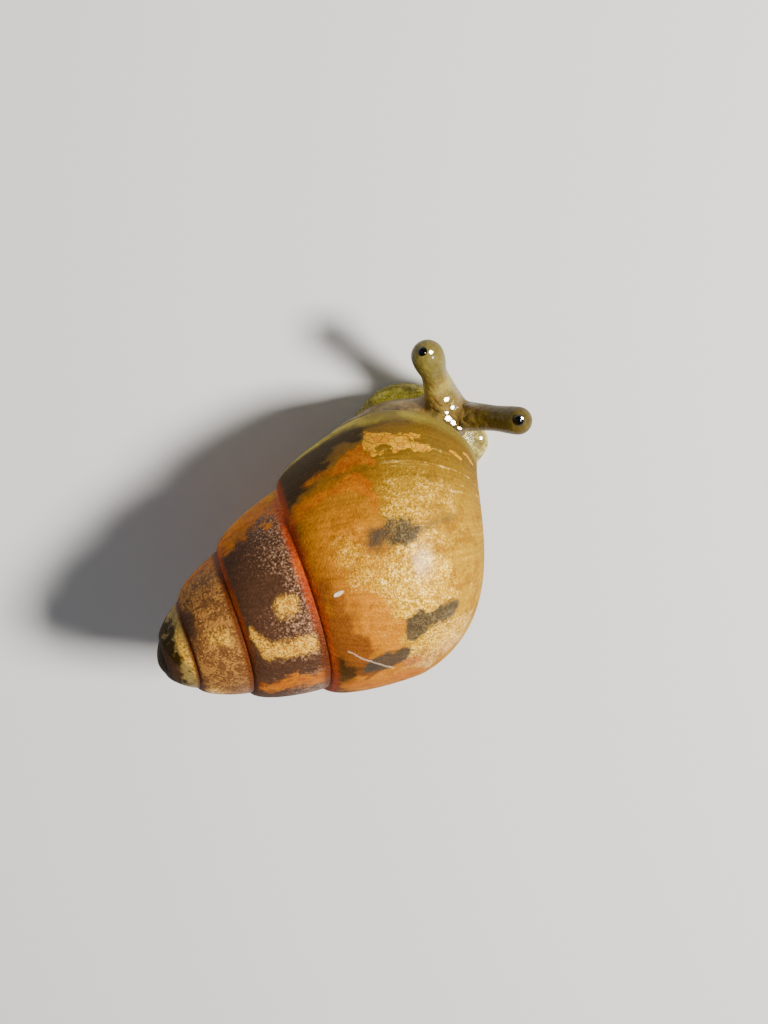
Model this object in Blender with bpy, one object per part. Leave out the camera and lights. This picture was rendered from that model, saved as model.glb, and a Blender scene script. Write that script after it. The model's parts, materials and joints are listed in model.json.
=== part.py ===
"""A small left-coiled tree snail, Auriculella perversa, crawling with both eye stalks out.

Shaped and cut in millimetres, then each finished piece is scaled to metres. The snail faces -Y,
its left side is +X, and its sole lies flat on z = 0. SHELL_APEX and the other places are in the
animal's own axes, with x = 0 on the foot's middle line; one empty then puts the whole animal round
the origin.
"""
import math

import bmesh
import bpy
import numpy as np
from mathutils import Matrix, Vector

MM = 0.001
GAP = 0.04                      # clear space kept between touching pieces
MERGE = 1e-4                    # points closer than this are one point
FAR = 4.0                       # further than the soft parts reach on any side

# Where the middle of the animal's own box lies, so that the empty can centre it
CENTRE_X = -0.1565
CENTRE_Y = 0.684

# The shell's spiral: suture radius and depth below the apex, by the number of whorls grown
SUTURE_RADIUS = 0.315
SUTURE_RADIUS_POWER = 1.159
SUTURE_DEPTH = 0.139
SUTURE_DEPTH_POWER = 2.11
WHORLS = 4.2
NUCLEUS = 0.5                   # the part of a whorl that the rounded apex covers
STEPS = 30                      # sections in one whorl
SIDE_STEPS = 8
BASE_STEPS = 7
COLUMELLA_STEPS = 3
COLUMNS = SIDE_STEPS + BASE_STEPS + COLUMELLA_STEPS

# The outline of one whorl, as shares of the line from its suture to the next
SHOULDER_ANGLE = 67.3
SHOULDER_REACH = 0.19
FLANK_REACH = 0.12
FLANK_LEAN = 3.3
BASE_REACH = 0.56
BASE_RADIUS = 0.415             # of the lowest point, as a share of the seam's radius
BASE_DEPTH = 0.878
COLUMELLA_RADIUS = 0.11
COLUMELLA_DEPTH = 0.42

# The lip's edge, and how the shell is carried
LIP_AZIMUTH = 124.5             # of the lip at the suture, from straight up towards the left
LIP_SLANT = 58.0                # how far the lip's lower end lags behind the suture
SHELL_APEX = (1.396, 3.835, 2.912)
SHELL_YAW = 30.07               # the apex points back and to the left
SHELL_PITCH = 14.03             # and upwards

# The mantle's collar fills the mouth of the shell
MANTLE_ENDS = (0.03, 0.90)      # shares of the lip's length where it starts and ends
MANTLE_INSET = 0.03             # share of the mouth's width left clear on each side
LIP_SHARE_PER_MM = 0.2          # share of the lip's length that one millimetre takes
MANTLE_RIM = 0.10               # thickness at the edge
MANTLE_SWELL = 0.28             # what the middle adds to it
MOUTH_CLEARANCE = 0.09          # from the closed mouth to the collar's inner face

# The foot and tail: one flat sole
SOLE_FRONT = -1.60
SOLE_WIDEST = -0.75
TAIL_START = 0.20
TAIL_TIP = 3.02
SOLE_HALF_WIDTH = 0.99
FRONT_SPREAD_RIGHT = 0.09        # the right front corner reaches this much further out
FRONT_CORNER_LEFT = 2.2         # higher is squarer
FRONT_CORNER_RIGHT = 5.0
TAIL_TAPER = 1.8
MARGIN_HEIGHT = 0.07
FOOT_HEIGHT_FRONT = 0.24
FOOT_HEIGHT_MIDDLE = 0.46
FOOT_HEIGHT_TAIL = 0.16
TAIL_CUT = 0.85

# The neck and head: round sections along one bent line
TRUNK_LINE = [(0.45, -0.22, 2.00), (0.44, -0.36, 1.50), (0.33, -0.66, 1.06),
              (0.14, -1.00, 0.88), (-0.01, -1.30, 0.84), (-0.04, -1.50, 0.80), (-0.05, -1.66, 0.70)]
TRUNK_RADII = [0.70, 0.76, 0.74, 0.60, 0.51, 0.42, 0.26]
HEAD_CUT = -1.05
MOUTH_PLACE = (-0.05, -1.68, 0.48)
MOUTH_WIDTH = 0.40

# The eye stalks and eyes
STALK_ROOT_LEFT = (0.10, -1.72, 1.10)
STALK_ROOT_RIGHT = (-0.18, -1.67, 1.10)
STALK_PARTING = -0.04          # x of the plane between the two roots
STALK_TIP_LEFT = (0.88, -2.29, 2.10)
STALK_TIP_RIGHT = (-0.84, -2.28, 1.90)
STALK_ROOT_RADIUS = 0.28
STALK_RADIUS = 0.235
BULB_RADIUS_LEFT = 0.26
BULB_RADIUS_RIGHT = 0.24
EYE_RADIUS = 0.09
EYE_SET_LEFT = 0.19             # from the bulb's centre to the eye's
EYE_SET_RIGHT = 0.18
EYE_UP_LEFT = (0.54, -0.17, 0.82)
EYE_UP_RIGHT = (0.14, -0.21, 0.97)


def clear_scene():
    for thing in list(bpy.data.objects):
        bpy.data.objects.remove(thing, do_unlink=True)


def collection(name):
    made = bpy.data.collections.new(name)
    bpy.context.scene.collection.children.link(made)
    return made


def material(name, colour, roughness):
    """A Principled material of one colour."""
    made = bpy.data.materials.new(name)
    made.use_nodes = True
    shader = made.node_tree.nodes["Principled BSDF"]
    shader.inputs["Base Color"].default_value = (*colour, 1.0)
    shader.inputs["Roughness"].default_value = roughness
    shader.inputs["Metallic"].default_value = 0.0
    return made


def mesh_object(name, group, points, faces):
    """A closed mesh from points in millimetres; points that meet are one, faces turned out."""
    mesh = bpy.data.meshes.new(name)
    mesh.from_pydata([tuple(float(v) for v in p) for p in points], [], faces)
    work = bmesh.new()
    work.from_mesh(mesh)
    bmesh.ops.remove_doubles(work, verts=work.verts, dist=MERGE)
    bmesh.ops.recalc_face_normals(work, faces=work.faces)
    work.to_mesh(mesh)
    work.free()
    made = bpy.data.objects.new(name, mesh)
    group.objects.link(made)
    return made


def cut(target, cutter, operation="DIFFERENCE"):
    """Applies one Boolean to the target and keeps its largest closed surface."""
    tool = target.modifiers.new("cut", "BOOLEAN")
    tool.operation = operation
    tool.solver = "MANIFOLD"
    tool.object = cutter
    graph = bpy.context.evaluated_depsgraph_get()
    mesh = bpy.data.meshes.new_from_object(target.evaluated_get(graph))
    target.modifiers.clear()
    old = target.data
    target.data = mesh
    bpy.data.meshes.remove(old)
    keep_largest(target)


def keep_largest(target):
    """Removes every loose surface but the one of the greatest area."""
    work = bmesh.new()
    work.from_mesh(target.data)
    left = set(work.faces)
    groups = []
    while left:
        found = {left.pop()}
        edge_of_search = set(found)
        while edge_of_search:
            near = {f for face in edge_of_search for e in face.edges for f in e.link_faces}
            edge_of_search = near & left
            left -= edge_of_search
            found |= edge_of_search
        groups.append(found)
    groups.sort(key=lambda group: sum(face.calc_area() for face in group))
    loose = [face for group in groups[:-1] for face in group]
    bmesh.ops.delete(work, geom=loose, context="FACES")
    work.to_mesh(target.data)
    work.free()


def block(name, group, low, high):
    """A box between two corners, in the animal's own axes."""
    low, high = Vector(low), Vector(high)
    bpy.ops.mesh.primitive_cube_add(size=1.0)
    made = bpy.context.object
    made.name = name
    made.data.transform(Matrix.Diagonal((*(high - low), 1.0)))
    made.data.transform(Matrix.Translation((low + high) * 0.5))
    move_to(made, group)
    return made


def ball(name, group, centre, radii, segments=24, rings=14):
    """A round or egg-shaped ball with its axis upright."""
    bpy.ops.mesh.primitive_uv_sphere_add(segments=segments, ring_count=rings, radius=1.0)
    made = bpy.context.object
    made.name = name
    made.data.transform(Matrix.Diagonal((*radii, 1.0)))
    made.data.transform(Matrix.Translation(centre))
    move_to(made, group)
    return made


def move_to(thing, group):
    for other in list(thing.users_collection):
        other.objects.unlink(thing)
    group.objects.link(thing)


def bezier(start, handle_a, handle_b, end, share):
    share = share[:, None]
    rest = 1.0 - share
    return (rest**3 * start + 3 * rest**2 * share * handle_a
            + 3 * rest * share**2 * handle_b + share**3 * end)


def suture(whorl):
    """Radius and depth of the seam between whorls."""
    return np.array([SUTURE_RADIUS * whorl**SUTURE_RADIUS_POWER,
                     SUTURE_DEPTH * whorl**SUTURE_DEPTH_POWER])


def whorl_outline(whorl, side_steps, base_steps, columella_steps):
    """Half-plane outline of one whorl: a Bezier arc from its suture to the next, a second one
    round the base, and a third up the columella. Gives the side points and the base points."""
    start, end = suture(whorl), suture(whorl + 1.0)
    chord = end - start
    span = float(np.linalg.norm(chord))
    along = chord / span
    outward = np.array([along[1], -along[0]])
    shoulder = math.radians(SHOULDER_ANGLE)
    leave = along * math.cos(shoulder) + outward * math.sin(shoulder)
    lean = math.radians(FLANK_LEAN)
    arrive = np.array([-math.sin(lean), math.cos(lean)])
    side = bezier(start, start + leave * span * SHOULDER_REACH,
                  end - arrive * span * FLANK_REACH, end, np.linspace(0.0, 1.0, side_steps + 1))
    low = np.array([end[0] * BASE_RADIUS, end[1] + span * BASE_DEPTH])
    base = bezier(end, end + arrive * span * BASE_REACH, low + np.array([end[0] * 0.22, 0.0]),
                  low, np.linspace(0.0, 1.0, base_steps + 1))
    inner = np.array([end[0] * COLUMELLA_RADIUS, end[1] + span * COLUMELLA_DEPTH])
    pillar = bezier(low, low - np.array([end[0] * 0.2, 0.0]),
                    inner + np.array([end[0] * 0.05, span * 0.15]), inner,
                    np.linspace(0.0, 1.0, columella_steps + 1))
    return side, np.vstack([base[1:], pillar[1:]])


def shell_axes():
    """Apex, the axis from apex to base, and the directions of azimuth 0 and 90 degrees."""
    yaw, pitch = math.radians(SHELL_YAW), math.radians(SHELL_PITCH)
    axis = np.array([-math.sin(yaw) * math.cos(pitch), -math.cos(yaw) * math.cos(pitch),
                     -math.sin(pitch)])
    up = np.array([0.0, 0.0, 1.0]) - axis * axis[2]
    up /= np.linalg.norm(up)
    return np.array(SHELL_APEX), axis, up, np.cross(up, axis)


def shell_point(outline_point, azimuth, grow):
    """A half-plane point turned to its azimuth; grow pushes it out from the axis and the ends."""
    radius, depth = outline_point
    radius = radius + grow * min(1.0, radius / 0.3)
    depth = depth + grow * max(-1.0, min(1.0, (depth - 3.0) / 2.5))
    apex, axis, up, left = shell_axes()
    angle = math.radians(azimuth)
    return apex + axis * depth + (up * math.cos(angle) + left * math.sin(angle)) * radius


def section_points(whorl, lean, grow=0.0):
    """One section of the shell in space. With lean 1 its lower end lags behind by LIP_SLANT."""
    made = []
    for column in range(COLUMNS + 1):
        at = whorl - LIP_SLANT / 360.0 * column / COLUMNS * lean
        side, base = whorl_outline(at, SIDE_STEPS, BASE_STEPS, COLUMELLA_STEPS)
        outline = side[column] if column <= SIDE_STEPS else base[column - SIDE_STEPS - 1]
        made.append(shell_point(outline, LIP_AZIMUTH + 360.0 * (at - WHORLS), grow))
    return made


def shell_solid(name, group, grow=0.0):
    """The whole shell as one closed solid with a full mouth. Sections follow the spiral; over the
    last whorl they lean back by LIP_SLANT, so that the last one is the slanting lip."""
    points, faces = [], []

    def section(whorl, whole):
        lean = max(0.0, min(1.0, whorl - (WHORLS - 1.0)))
        row = section_points(whorl, lean, grow)[:COLUMNS + 1 if whole else SIDE_STEPS + 1]
        points.extend(row)
        return list(range(len(points) - len(row), len(points)))

    first = int(round(NUCLEUS * STEPS))
    even = {round(k / STEPS, 6) for k in range(first, int(WHORLS * STEPS + 1e-6) + 1)}
    turns = sorted(even | {round(WHORLS - n, 6) for n in range(int(WHORLS - NUCLEUS) + 1)})
    rows = [section(turn, turn > WHORLS - 1.0 - 1e-5) for turn in turns]
    for a, b in zip(rows, rows[1:]):
        shared = min(len(a), len(b))
        faces += [(a[i], a[i + 1], b[i + 1], b[i]) for i in range(shared - 1)]
    close_apex(points, faces, rows[0], turns, grow)
    whole = [row for row in rows if len(row) == COLUMNS + 1]
    close_umbilicus(points, faces, whole, turns, grow)
    close_mouth(points, faces, whole[-1], whole[0][SIDE_STEPS:])
    return mesh_object(name, group, points, faces)


def close_apex(points, faces, first_row, turns, grow):
    """A dome over the nucleus: rings that follow the first turn of the suture, up to a pole."""
    ring_turns = [t for t in turns if t <= NUCLEUS + 1.0 + 1e-6]
    shares = (1.0, 0.66, 0.33)
    rings = []
    for share in shares:
        ring = []
        for turn in ring_turns:
            radius = suture(turn)[0] * share
            at = (radius / SUTURE_RADIUS) ** (1.0 / SUTURE_RADIUS_POWER)
            ring.append(len(points))
            azimuth = LIP_AZIMUTH + 360.0 * (turn - WHORLS)
            points.append(shell_point(suture(at), azimuth, grow))
        rings.append(ring)
    pole = len(points)
    points.append(shell_point((0.0, 0.0), 0.0, grow))
    for outer, inner in zip(rings, rings[1:]):
        for i in range(len(ring_turns) - 1):
            faces.append((outer[i], outer[i + 1], inner[i + 1], inner[i]))
    for i in range(len(ring_turns) - 1):
        faces.append((rings[-1][i], rings[-1][i + 1], pole))
    start = [ring[0] for ring in rings]
    finish = [ring[-1] for ring in rings]
    faces.append(tuple([pole] + start[::-1] + first_row[1:-1] + finish))


def close_umbilicus(points, faces, rows, turns, grow):
    """A fan from the inner end of each section to one point on the axis."""
    ends = [row[-1] for row in rows]
    middle = turns[len(turns) - 1 - len(rows) // 2]
    _, base = whorl_outline(middle, 2, 2, 2)
    centre = len(points)
    points.append(shell_point((0.0, base[-1][1]), 0.0, grow))
    for a, b in zip(ends, ends[1:]):
        faces.append((a, b, centre))
    faces.append((ends[-1], ends[0], centre))


def along_line(line, share):
    """The point at a share of the way through a line's points."""
    place = share * (len(line) - 1)
    first = min(int(place), len(line) - 2)
    return line[first] + (line[first + 1] - line[first]) * (place - first)


def mouth_facing():
    """Unit vector square to the shell's mouth, pointing out of it."""
    lip = section_points(WHORLS, 1.0)
    wall = section_points(WHORLS - 1.0, 0.0)[SIDE_STEPS:]
    rim = np.array(lip + wall[::-1])
    facing = np.cross(rim, np.roll(rim, -1, axis=0)).sum(axis=0)
    facing /= np.linalg.norm(facing)
    deep = shell_point((1.2, 4.5), LIP_AZIMUTH - 90.0, 0.0)
    return facing if facing @ (rim.mean(axis=0) - deep) > 0 else -facing


def mantle_solid(name, group, grow=0.0, down=20, across=10):
    """The mantle's collar: a cushion over the shell's mouth. Its grid runs down the lip and across
    from the lip to the wall of the whorl before; it is thickest in the middle."""
    lip = section_points(WHORLS, 1.0)
    wall = section_points(WHORLS - 1.0, 0.0)[SIDE_STEPS:]
    facing = mouth_facing()
    points, faces = [], []
    for over in (0, 1):
        for i in range(down + 1):
            place = MANTLE_ENDS[0] + (MANTLE_ENDS[1] - MANTLE_ENDS[0]) * i / down
            place += grow * LIP_SHARE_PER_MM * (2 * i / down - 1.0)
            a, b = along_line(lip, place), along_line(wall, place)
            reach = (b - a) / np.linalg.norm(b - a) * grow
            a, b = a - reach, b + reach
            for j in range(across + 1):
                share = MANTLE_INSET + (1.0 - 2 * MANTLE_INSET) * j / across
                swell = (math.sin(math.pi * i / down) * math.sin(math.pi * j / across)) ** 0.5
                height = MOUTH_CLEARANCE - grow
                height += over * (MANTLE_RIM + MANTLE_SWELL * swell + 2 * grow)
                points.append(a + (b - a) * share + facing * height)
    width = across + 1
    top = (down + 1) * width
    for i in range(down):
        for j in range(across):
            k = i * width + j
            faces.append((k, k + 1, k + width + 1, k + width))
            faces.append((top + k, top + k + 1, top + k + width + 1, top + k + width))
    edge = [j for j in range(across)] + [i * width + across for i in range(down)]
    edge += [down * width + j for j in range(across, 0, -1)] + [i * width for i in range(down, 0, -1)]
    for a, b in zip(edge, edge[1:] + edge[:1]):
        faces.append((a, b, top + b, top + a))
    return mesh_object(name, group, points, faces)


def close_mouth(points, faces, lip, wall):
    """Triangles between the lip and the wall of the whorl before, which meet at the suture."""
    i = j = 0
    while i < len(lip) - 1 or j < len(wall) - 1:
        lip_share = (i + 1) / (len(lip) - 1)
        wall_share = (j + 1) / (len(wall) - 1)
        if j >= len(wall) - 1 or (i < len(lip) - 1 and lip_share <= wall_share):
            faces.append((lip[i], lip[i + 1], wall[j]))
            i += 1
        else:
            faces.append((lip[i], wall[j + 1], wall[j]))
            j += 1


def smooth_line(knots, count):
    """Points read from a Catmull-Rom curve through the knots, ends included."""
    knots = np.array(knots, float)
    padded = np.vstack([2 * knots[0] - knots[1], knots, 2 * knots[-1] - knots[-2]])
    places = np.linspace(0.0, len(knots) - 1.0, count)
    made = []
    for place in places:
        i = min(int(place), len(knots) - 2)
        t = place - i
        a, b, c, d = padded[i:i + 4]
        made.append(0.5 * (2 * b + (c - a) * t + (2 * a - 5 * b + 4 * c - d) * t**2
                           + (3 * b - a - 3 * c + d) * t**3))
    return np.array(made)


def sweep(name, group, line, radii, sides=24, grow=0.0):
    """Round sections of changing radius along a line, each square to it, with closed ends."""
    tangent = np.gradient(line, axis=0)
    tangent /= np.linalg.norm(tangent, axis=1)[:, None]
    side = np.cross(tangent[0], (1.0, 0.0, 0.0))
    points, faces = [], []
    for centre, way, radius in zip(line, tangent, radii):
        side = side - way * float(side @ way)
        side /= np.linalg.norm(side)
        other = np.cross(way, side)
        for k in range(sides):
            angle = 2 * math.pi * k / sides
            points.append(centre + (side * math.cos(angle) + other * math.sin(angle)) * (radius + grow))
    for ring in range(len(line) - 1):
        for k in range(sides):
            near, far = ring * sides, (ring + 1) * sides
            nxt = (k + 1) % sides
            faces.append((near + k, near + nxt, far + nxt, far + k))
    for ring, way in ((0, -1.0), (len(line) - 1, 1.0)):
        pole = len(points)
        points.append(line[ring] + tangent[ring] * way * (radii[ring] * 0.35 + grow))
        base = ring * sides
        faces += [(base + k, base + (k + 1) % sides, pole) for k in range(sides)]
    return mesh_object(name, group, points, faces)


def trunk(name, group, grow=0.0):
    line = smooth_line(TRUNK_LINE, 22)
    radii = smooth_line([(r, 0.0, 0.0) for r in TRUNK_RADII], 22)[:, 0]
    return sweep(name, group, line, radii, 28, grow)


def sole_edge(y, side):
    """Half-width of the sole at y; side is 1 on the left and -1 on the right."""
    if y < SOLE_WIDEST:
        corner = FRONT_CORNER_LEFT if side > 0 else FRONT_CORNER_RIGHT
        share = min(1.0, (SOLE_WIDEST - y) / (SOLE_WIDEST - SOLE_FRONT))
        spread = 0.0 if side > 0 else FRONT_SPREAD_RIGHT * share
        return (SOLE_HALF_WIDTH + spread) * (1.0 - share**corner) ** (1.0 / corner)
    if y > TAIL_START:
        share = min(1.0, (y - TAIL_START) / (TAIL_TIP - TAIL_START))
        return SOLE_HALF_WIDTH * (1.0 - share**TAIL_TAPER) ** 0.95
    return SOLE_HALF_WIDTH


def foot_height(y):
    """Height of the foot's back over the sole."""
    front = min(1.0, max(0.0, (y - SOLE_FRONT) / 0.9))
    rear = min(1.0, max(0.0, (y - 0.1) / (TAIL_TIP - 0.1)))
    rise = FOOT_HEIGHT_FRONT + (FOOT_HEIGHT_MIDDLE - FOOT_HEIGHT_FRONT) * math.sin(front * math.pi / 2)
    return rise + (FOOT_HEIGHT_TAIL - FOOT_HEIGHT_MIDDLE) * rear


def foot_solid(name, group, y_from, y_to, grow=0.0, rows=16, across=12):
    """A loft from front to back: flat below, a low margin, and a rounded back."""
    points, faces = [], []
    size = 2 * across
    for row in range(rows + 1):
        share = 0.5 - 0.5 * math.cos(math.pi * row / rows)
        y = y_from + (y_to - y_from) * share
        inner = min(max(y, SOLE_FRONT + 0.012), TAIL_TIP - 0.06)
        left, right = sole_edge(inner, 1) + grow, sole_edge(inner, -1) + grow
        top = foot_height(inner) * min(1.0, 0.45 + min(left, right)) + grow
        for k in range(across + 1):
            angle = math.pi * k / across
            x = math.cos(angle)
            x *= left if x > 0 else right
            z = MARGIN_HEIGHT + (top - MARGIN_HEIGHT) * math.sin(angle) ** 0.75
            points.append((x, y, z))
        for k in range(1, across):
            x = -math.cos(math.pi * k / across)
            x *= (left if x > 0 else right) * 0.96
            points.append((x, y, -grow))
    for row in range(rows):
        near, far = row * size, (row + 1) * size
        faces += [(near + k, near + (k + 1) % size, far + (k + 1) % size, far + k) for k in range(size)]
    faces.append(tuple(range(size)))
    faces.append(tuple(rows * size + k for k in range(size)))
    return mesh_object(name, group, points, faces)


def stalk(name, group, root, tip, bulb_radius):
    """An eye stalk: flared at its root, slimmer half way, and a round bulb at its tip."""
    root, tip = np.array(root), np.array(tip)
    middle = root * 0.5 + tip * 0.5 + np.array([0.0, 0.0, -0.05])
    line = smooth_line([root, middle, tip], 11)
    end = tip - line[-2]
    end /= np.linalg.norm(end)
    shares = np.linspace(0.0, 1.0, 11)
    radii = STALK_RADIUS + (STALK_ROOT_RADIUS - STALK_RADIUS) * (1.0 - shares) ** 2
    radii = radii + (bulb_radius - STALK_RADIUS) * np.clip((shares - 0.55) / 0.45, 0.0, 1.0) ** 1.5
    domes = [math.radians(a) for a in (25, 50, 72)]
    cap = [tip + end * bulb_radius * math.sin(a) for a in domes]
    line = np.vstack([line, cap])
    radii = np.append(radii, [bulb_radius * math.cos(a) for a in domes])
    return sweep(name, group, line, radii, 18)


def eye_centre(tip, way, set_out):
    way = np.array(way)
    return np.array(tip) + way / np.linalg.norm(way) * set_out


def add_mouth(head, group):
    """Two soft lips under the front of the head, with the mouth's line cut between them."""
    x, y, z = MOUTH_PLACE
    upper = ball("lip_upper", group, (x, y, z + 0.07), (MOUTH_WIDTH * 0.6, 0.18, 0.09), 18, 9)
    lower = ball("lip_lower", group, (x, y + 0.03, z - 0.07), (MOUTH_WIDTH * 0.5, 0.16, 0.08), 18, 9)
    cut(head, upper, "UNION")
    cut(head, lower, "UNION")
    line = ball("mouth_line", group, (x, y - 0.14, z), (MOUTH_WIDTH * 0.5, 0.15, 0.02), 20, 4)
    cut(head, line)


def finish_piece(piece, holder, paint):
    piece.data.transform(Matrix.Scale(MM, 4))
    piece.data.materials.clear()
    piece.data.materials.append(paint)
    piece.data.shade_smooth()
    piece.parent = holder


def build():
    clear_scene()
    parts = collection("auriculella_perversa")
    tools = collection("cutters")
    holder = bpy.data.objects.new("snail", None)
    parts.objects.link(holder)
    holder.location = (-CENTRE_X * MM, -CENTRE_Y * MM, 0.0)

    amber = material("shell", (0.50, 0.24, 0.06), 0.25)
    collar = material("mantle", (0.28, 0.19, 0.12), 0.4)
    flesh = material("flesh", (0.36, 0.26, 0.16), 0.35)
    sole = material("foot", (0.52, 0.48, 0.26), 0.35)
    black = material("eye", (0.01, 0.01, 0.01), 0.08)

    shell = shell_solid("shell", parts)
    shell_room = shell_solid("shell_room", tools, grow=GAP)
    mouth_room = shell_solid("mouth_room", tools, grow=GAP)
    mouth_room.data.transform(Matrix.Translation(mouth_facing() * GAP))
    mantle = mantle_solid("mantle", parts)
    mantle_room = mantle_solid("mantle_room", tools, GAP)
    cut(mantle, shell_room)
    cut(mantle, mouth_room)

    foot = foot_solid("foot", parts, SOLE_FRONT, TAIL_CUT - GAP / 2)
    tail = foot_solid("tail", parts, TAIL_CUT + GAP / 2, TAIL_TIP, rows=12, across=8)
    foot_room = foot_solid("foot_room", tools, SOLE_FRONT - GAP, TAIL_TIP, grow=GAP, rows=28)

    neck = trunk("neck", parts)
    head = trunk("head", parts)
    trunk_room = trunk("trunk_room", tools, GAP)
    behind = block("neck_side", tools, (-FAR, HEAD_CUT + GAP / 2, -FAR), (FAR, FAR, FAR))
    ahead = block("head_side", tools, (-FAR, -FAR, -FAR), (FAR, HEAD_CUT - GAP / 2, FAR))
    cut(neck, behind, "INTERSECT")
    cut(head, ahead, "INTERSECT")
    for piece in (neck, head):
        cut(piece, foot_room)
        cut(piece, shell_room)
        cut(piece, mouth_room)
        cut(piece, mantle_room)
    add_mouth(head, tools)

    stalks = {}
    for word, root, tip, bulb, way, set_out in (
            ("left", STALK_ROOT_LEFT, STALK_TIP_LEFT, BULB_RADIUS_LEFT, EYE_UP_LEFT, EYE_SET_LEFT),
            ("right", STALK_ROOT_RIGHT, STALK_TIP_RIGHT, BULB_RADIUS_RIGHT, EYE_UP_RIGHT, EYE_SET_RIGHT)):
        piece = stalk(f"eye_stalk_{word}", parts, root, tip, bulb)
        cut(piece, trunk_room)
        low, high = -FAR, STALK_PARTING + GAP / 2
        if word == "right":
            low, high = STALK_PARTING - GAP / 2, FAR
        cut(piece, block(f"beyond_{word}", tools, (low, -FAR, -FAR), (high, FAR, FAR)))
        spot = eye_centre(tip, way, set_out)
        socket = ball(f"socket_{word}", tools, spot, [EYE_RADIUS + GAP] * 3, 16, 10)
        cut(piece, socket)
        eye = ball(f"eye_{word}", parts, spot, [EYE_RADIUS] * 3, 16, 10)
        stalks[word] = (piece, eye)

    for piece, paint in ((shell, amber), (mantle, collar), (neck, flesh), (head, flesh),
                         (foot, sole), (tail, sole)):
        finish_piece(piece, holder, paint)
    for piece, eye in stalks.values():
        finish_piece(piece, holder, flesh)
        finish_piece(eye, holder, black)
    for tool in tools.objects:
        tool.data.transform(Matrix.Scale(MM, 4))
        tool.parent = holder
        tool.hide_render = True
        tool.display_type = "WIRE"


build()
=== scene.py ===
"""A small left-coiled tree snail, Auriculella perversa, crawling on a pale floor.

Everything is worked out in millimetres in the animal's own axes: it faces -Y, its left is +X, and
its sole lies on z = 0. place() turns such points into the row frame in metres.
"""

import json
import math

import bmesh
import bpy
import numpy as np
from mathutils import Matrix, Vector

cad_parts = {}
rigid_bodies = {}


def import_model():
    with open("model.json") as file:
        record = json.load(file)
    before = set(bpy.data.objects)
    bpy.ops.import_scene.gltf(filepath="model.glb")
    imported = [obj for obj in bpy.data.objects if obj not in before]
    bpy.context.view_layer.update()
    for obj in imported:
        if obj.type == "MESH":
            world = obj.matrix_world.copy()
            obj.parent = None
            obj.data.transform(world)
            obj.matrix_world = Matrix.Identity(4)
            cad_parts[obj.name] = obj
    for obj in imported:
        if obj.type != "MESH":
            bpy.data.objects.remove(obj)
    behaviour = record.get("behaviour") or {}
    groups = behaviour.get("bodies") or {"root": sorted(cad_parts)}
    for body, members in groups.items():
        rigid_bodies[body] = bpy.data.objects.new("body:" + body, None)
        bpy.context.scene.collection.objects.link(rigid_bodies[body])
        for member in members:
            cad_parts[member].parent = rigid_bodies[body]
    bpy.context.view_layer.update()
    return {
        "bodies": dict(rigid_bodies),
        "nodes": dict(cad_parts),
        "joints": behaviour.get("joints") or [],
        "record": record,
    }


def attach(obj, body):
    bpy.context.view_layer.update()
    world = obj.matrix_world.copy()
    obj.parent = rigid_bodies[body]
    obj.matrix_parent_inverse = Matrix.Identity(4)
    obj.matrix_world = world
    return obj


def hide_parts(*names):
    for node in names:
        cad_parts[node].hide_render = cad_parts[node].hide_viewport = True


MM = 0.001
SHIFT = np.array([0.1565, -0.684, 0.0])  # from the animal's own axes to the row frame

# The shell's spiral and outline
SUTURE_RADIUS, SUTURE_RADIUS_POWER = 0.315, 1.159
SUTURE_DEPTH, SUTURE_DEPTH_POWER = 0.139, 2.11
WHORLS = 4.2
NUCLEUS = 0.5
SHOULDER_ANGLE, SHOULDER_REACH = 67.3, 0.19
FLANK_REACH, FLANK_LEAN = 0.12, 3.3
BASE_REACH, BASE_RADIUS, BASE_DEPTH = 0.56, 0.415, 0.878
COLUMELLA_RADIUS, COLUMELLA_DEPTH = 0.11, 0.42
# Handles of the two lower arcs, as shares of the radius there or of the way between sutures
BASE_HANDLE, PILLAR_HANDLE = 0.22, 0.2
PILLAR_FOOT_OUT, PILLAR_FOOT_DOWN = 0.05, 0.15
# An offset fades near the axis, and moves depth up above the middle and down below it
OFFSET_RADIUS, OFFSET_MIDDLE, OFFSET_SPAN = 0.3, 3.0, 2.5
SHELL_PER_WHORL, SHELL_COLUMNS = 240, 108
SIDE_END, BASE_END = 8 / 18, 15 / 18
LIP_AZIMUTH, LIP_SLANT = 124.5, 58.0
SHELL_APEX = (1.396, 3.835, 2.912)
SHELL_YAW, SHELL_PITCH = 30.07, 14.03
LIP_THICKNESS = 0.045
# Rows round the lip: shares of its thickness, and how far out they lie in whorls
LIP_BACK, LIP_BULGE = (0.30, 0.85, 1.0), (0.006, 0.006, 0.0)
MOUTH_DEPTH, MOUTH_ROWS = 0.09, 8  # in whorls, how far the mouth is hollow
WALL_OFFSET = 0.012  # how far its inner wall stands off the whorl before
COLLAR_DEPTH = 0.010  # in whorls, how far inside the lip the mantle lies
COLLAR_HALF, COLLAR_EDGE = 0.055, 0.05  # half the mantle's thickness, and its edge's rounding
COLLAR_WALL_OFFSET, COLLAR_COUNT = -0.02, 41
COLLAR_REACH, COLLAR_HEIGHT = 2.4, 1.1  # the space in which its distance is worked out

# The foot and tail
SOLE_FRONT, SOLE_WIDEST = -1.60, -0.75
TAIL_START, TAIL_TIP = 0.20, 3.02
SOLE_HALF_WIDTH, FRONT_SPREAD_RIGHT = 0.99, 0.09
FRONT_CORNER_LEFT, FRONT_CORNER_RIGHT = 2.2, 5.0
TAIL_TAPER, TAIL_SHARPNESS = 1.8, 0.95
MARGIN_HEIGHT = 0.07
FOOT_HEIGHT_FRONT, FOOT_HEIGHT_MIDDLE, FOOT_HEIGHT_TAIL = 0.24, 0.46, 0.16
FOOT_RISE_LENGTH, FOOT_FALL_START = 0.9, 0.1
FOOT_ARCH_POWER = 2.667

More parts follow.
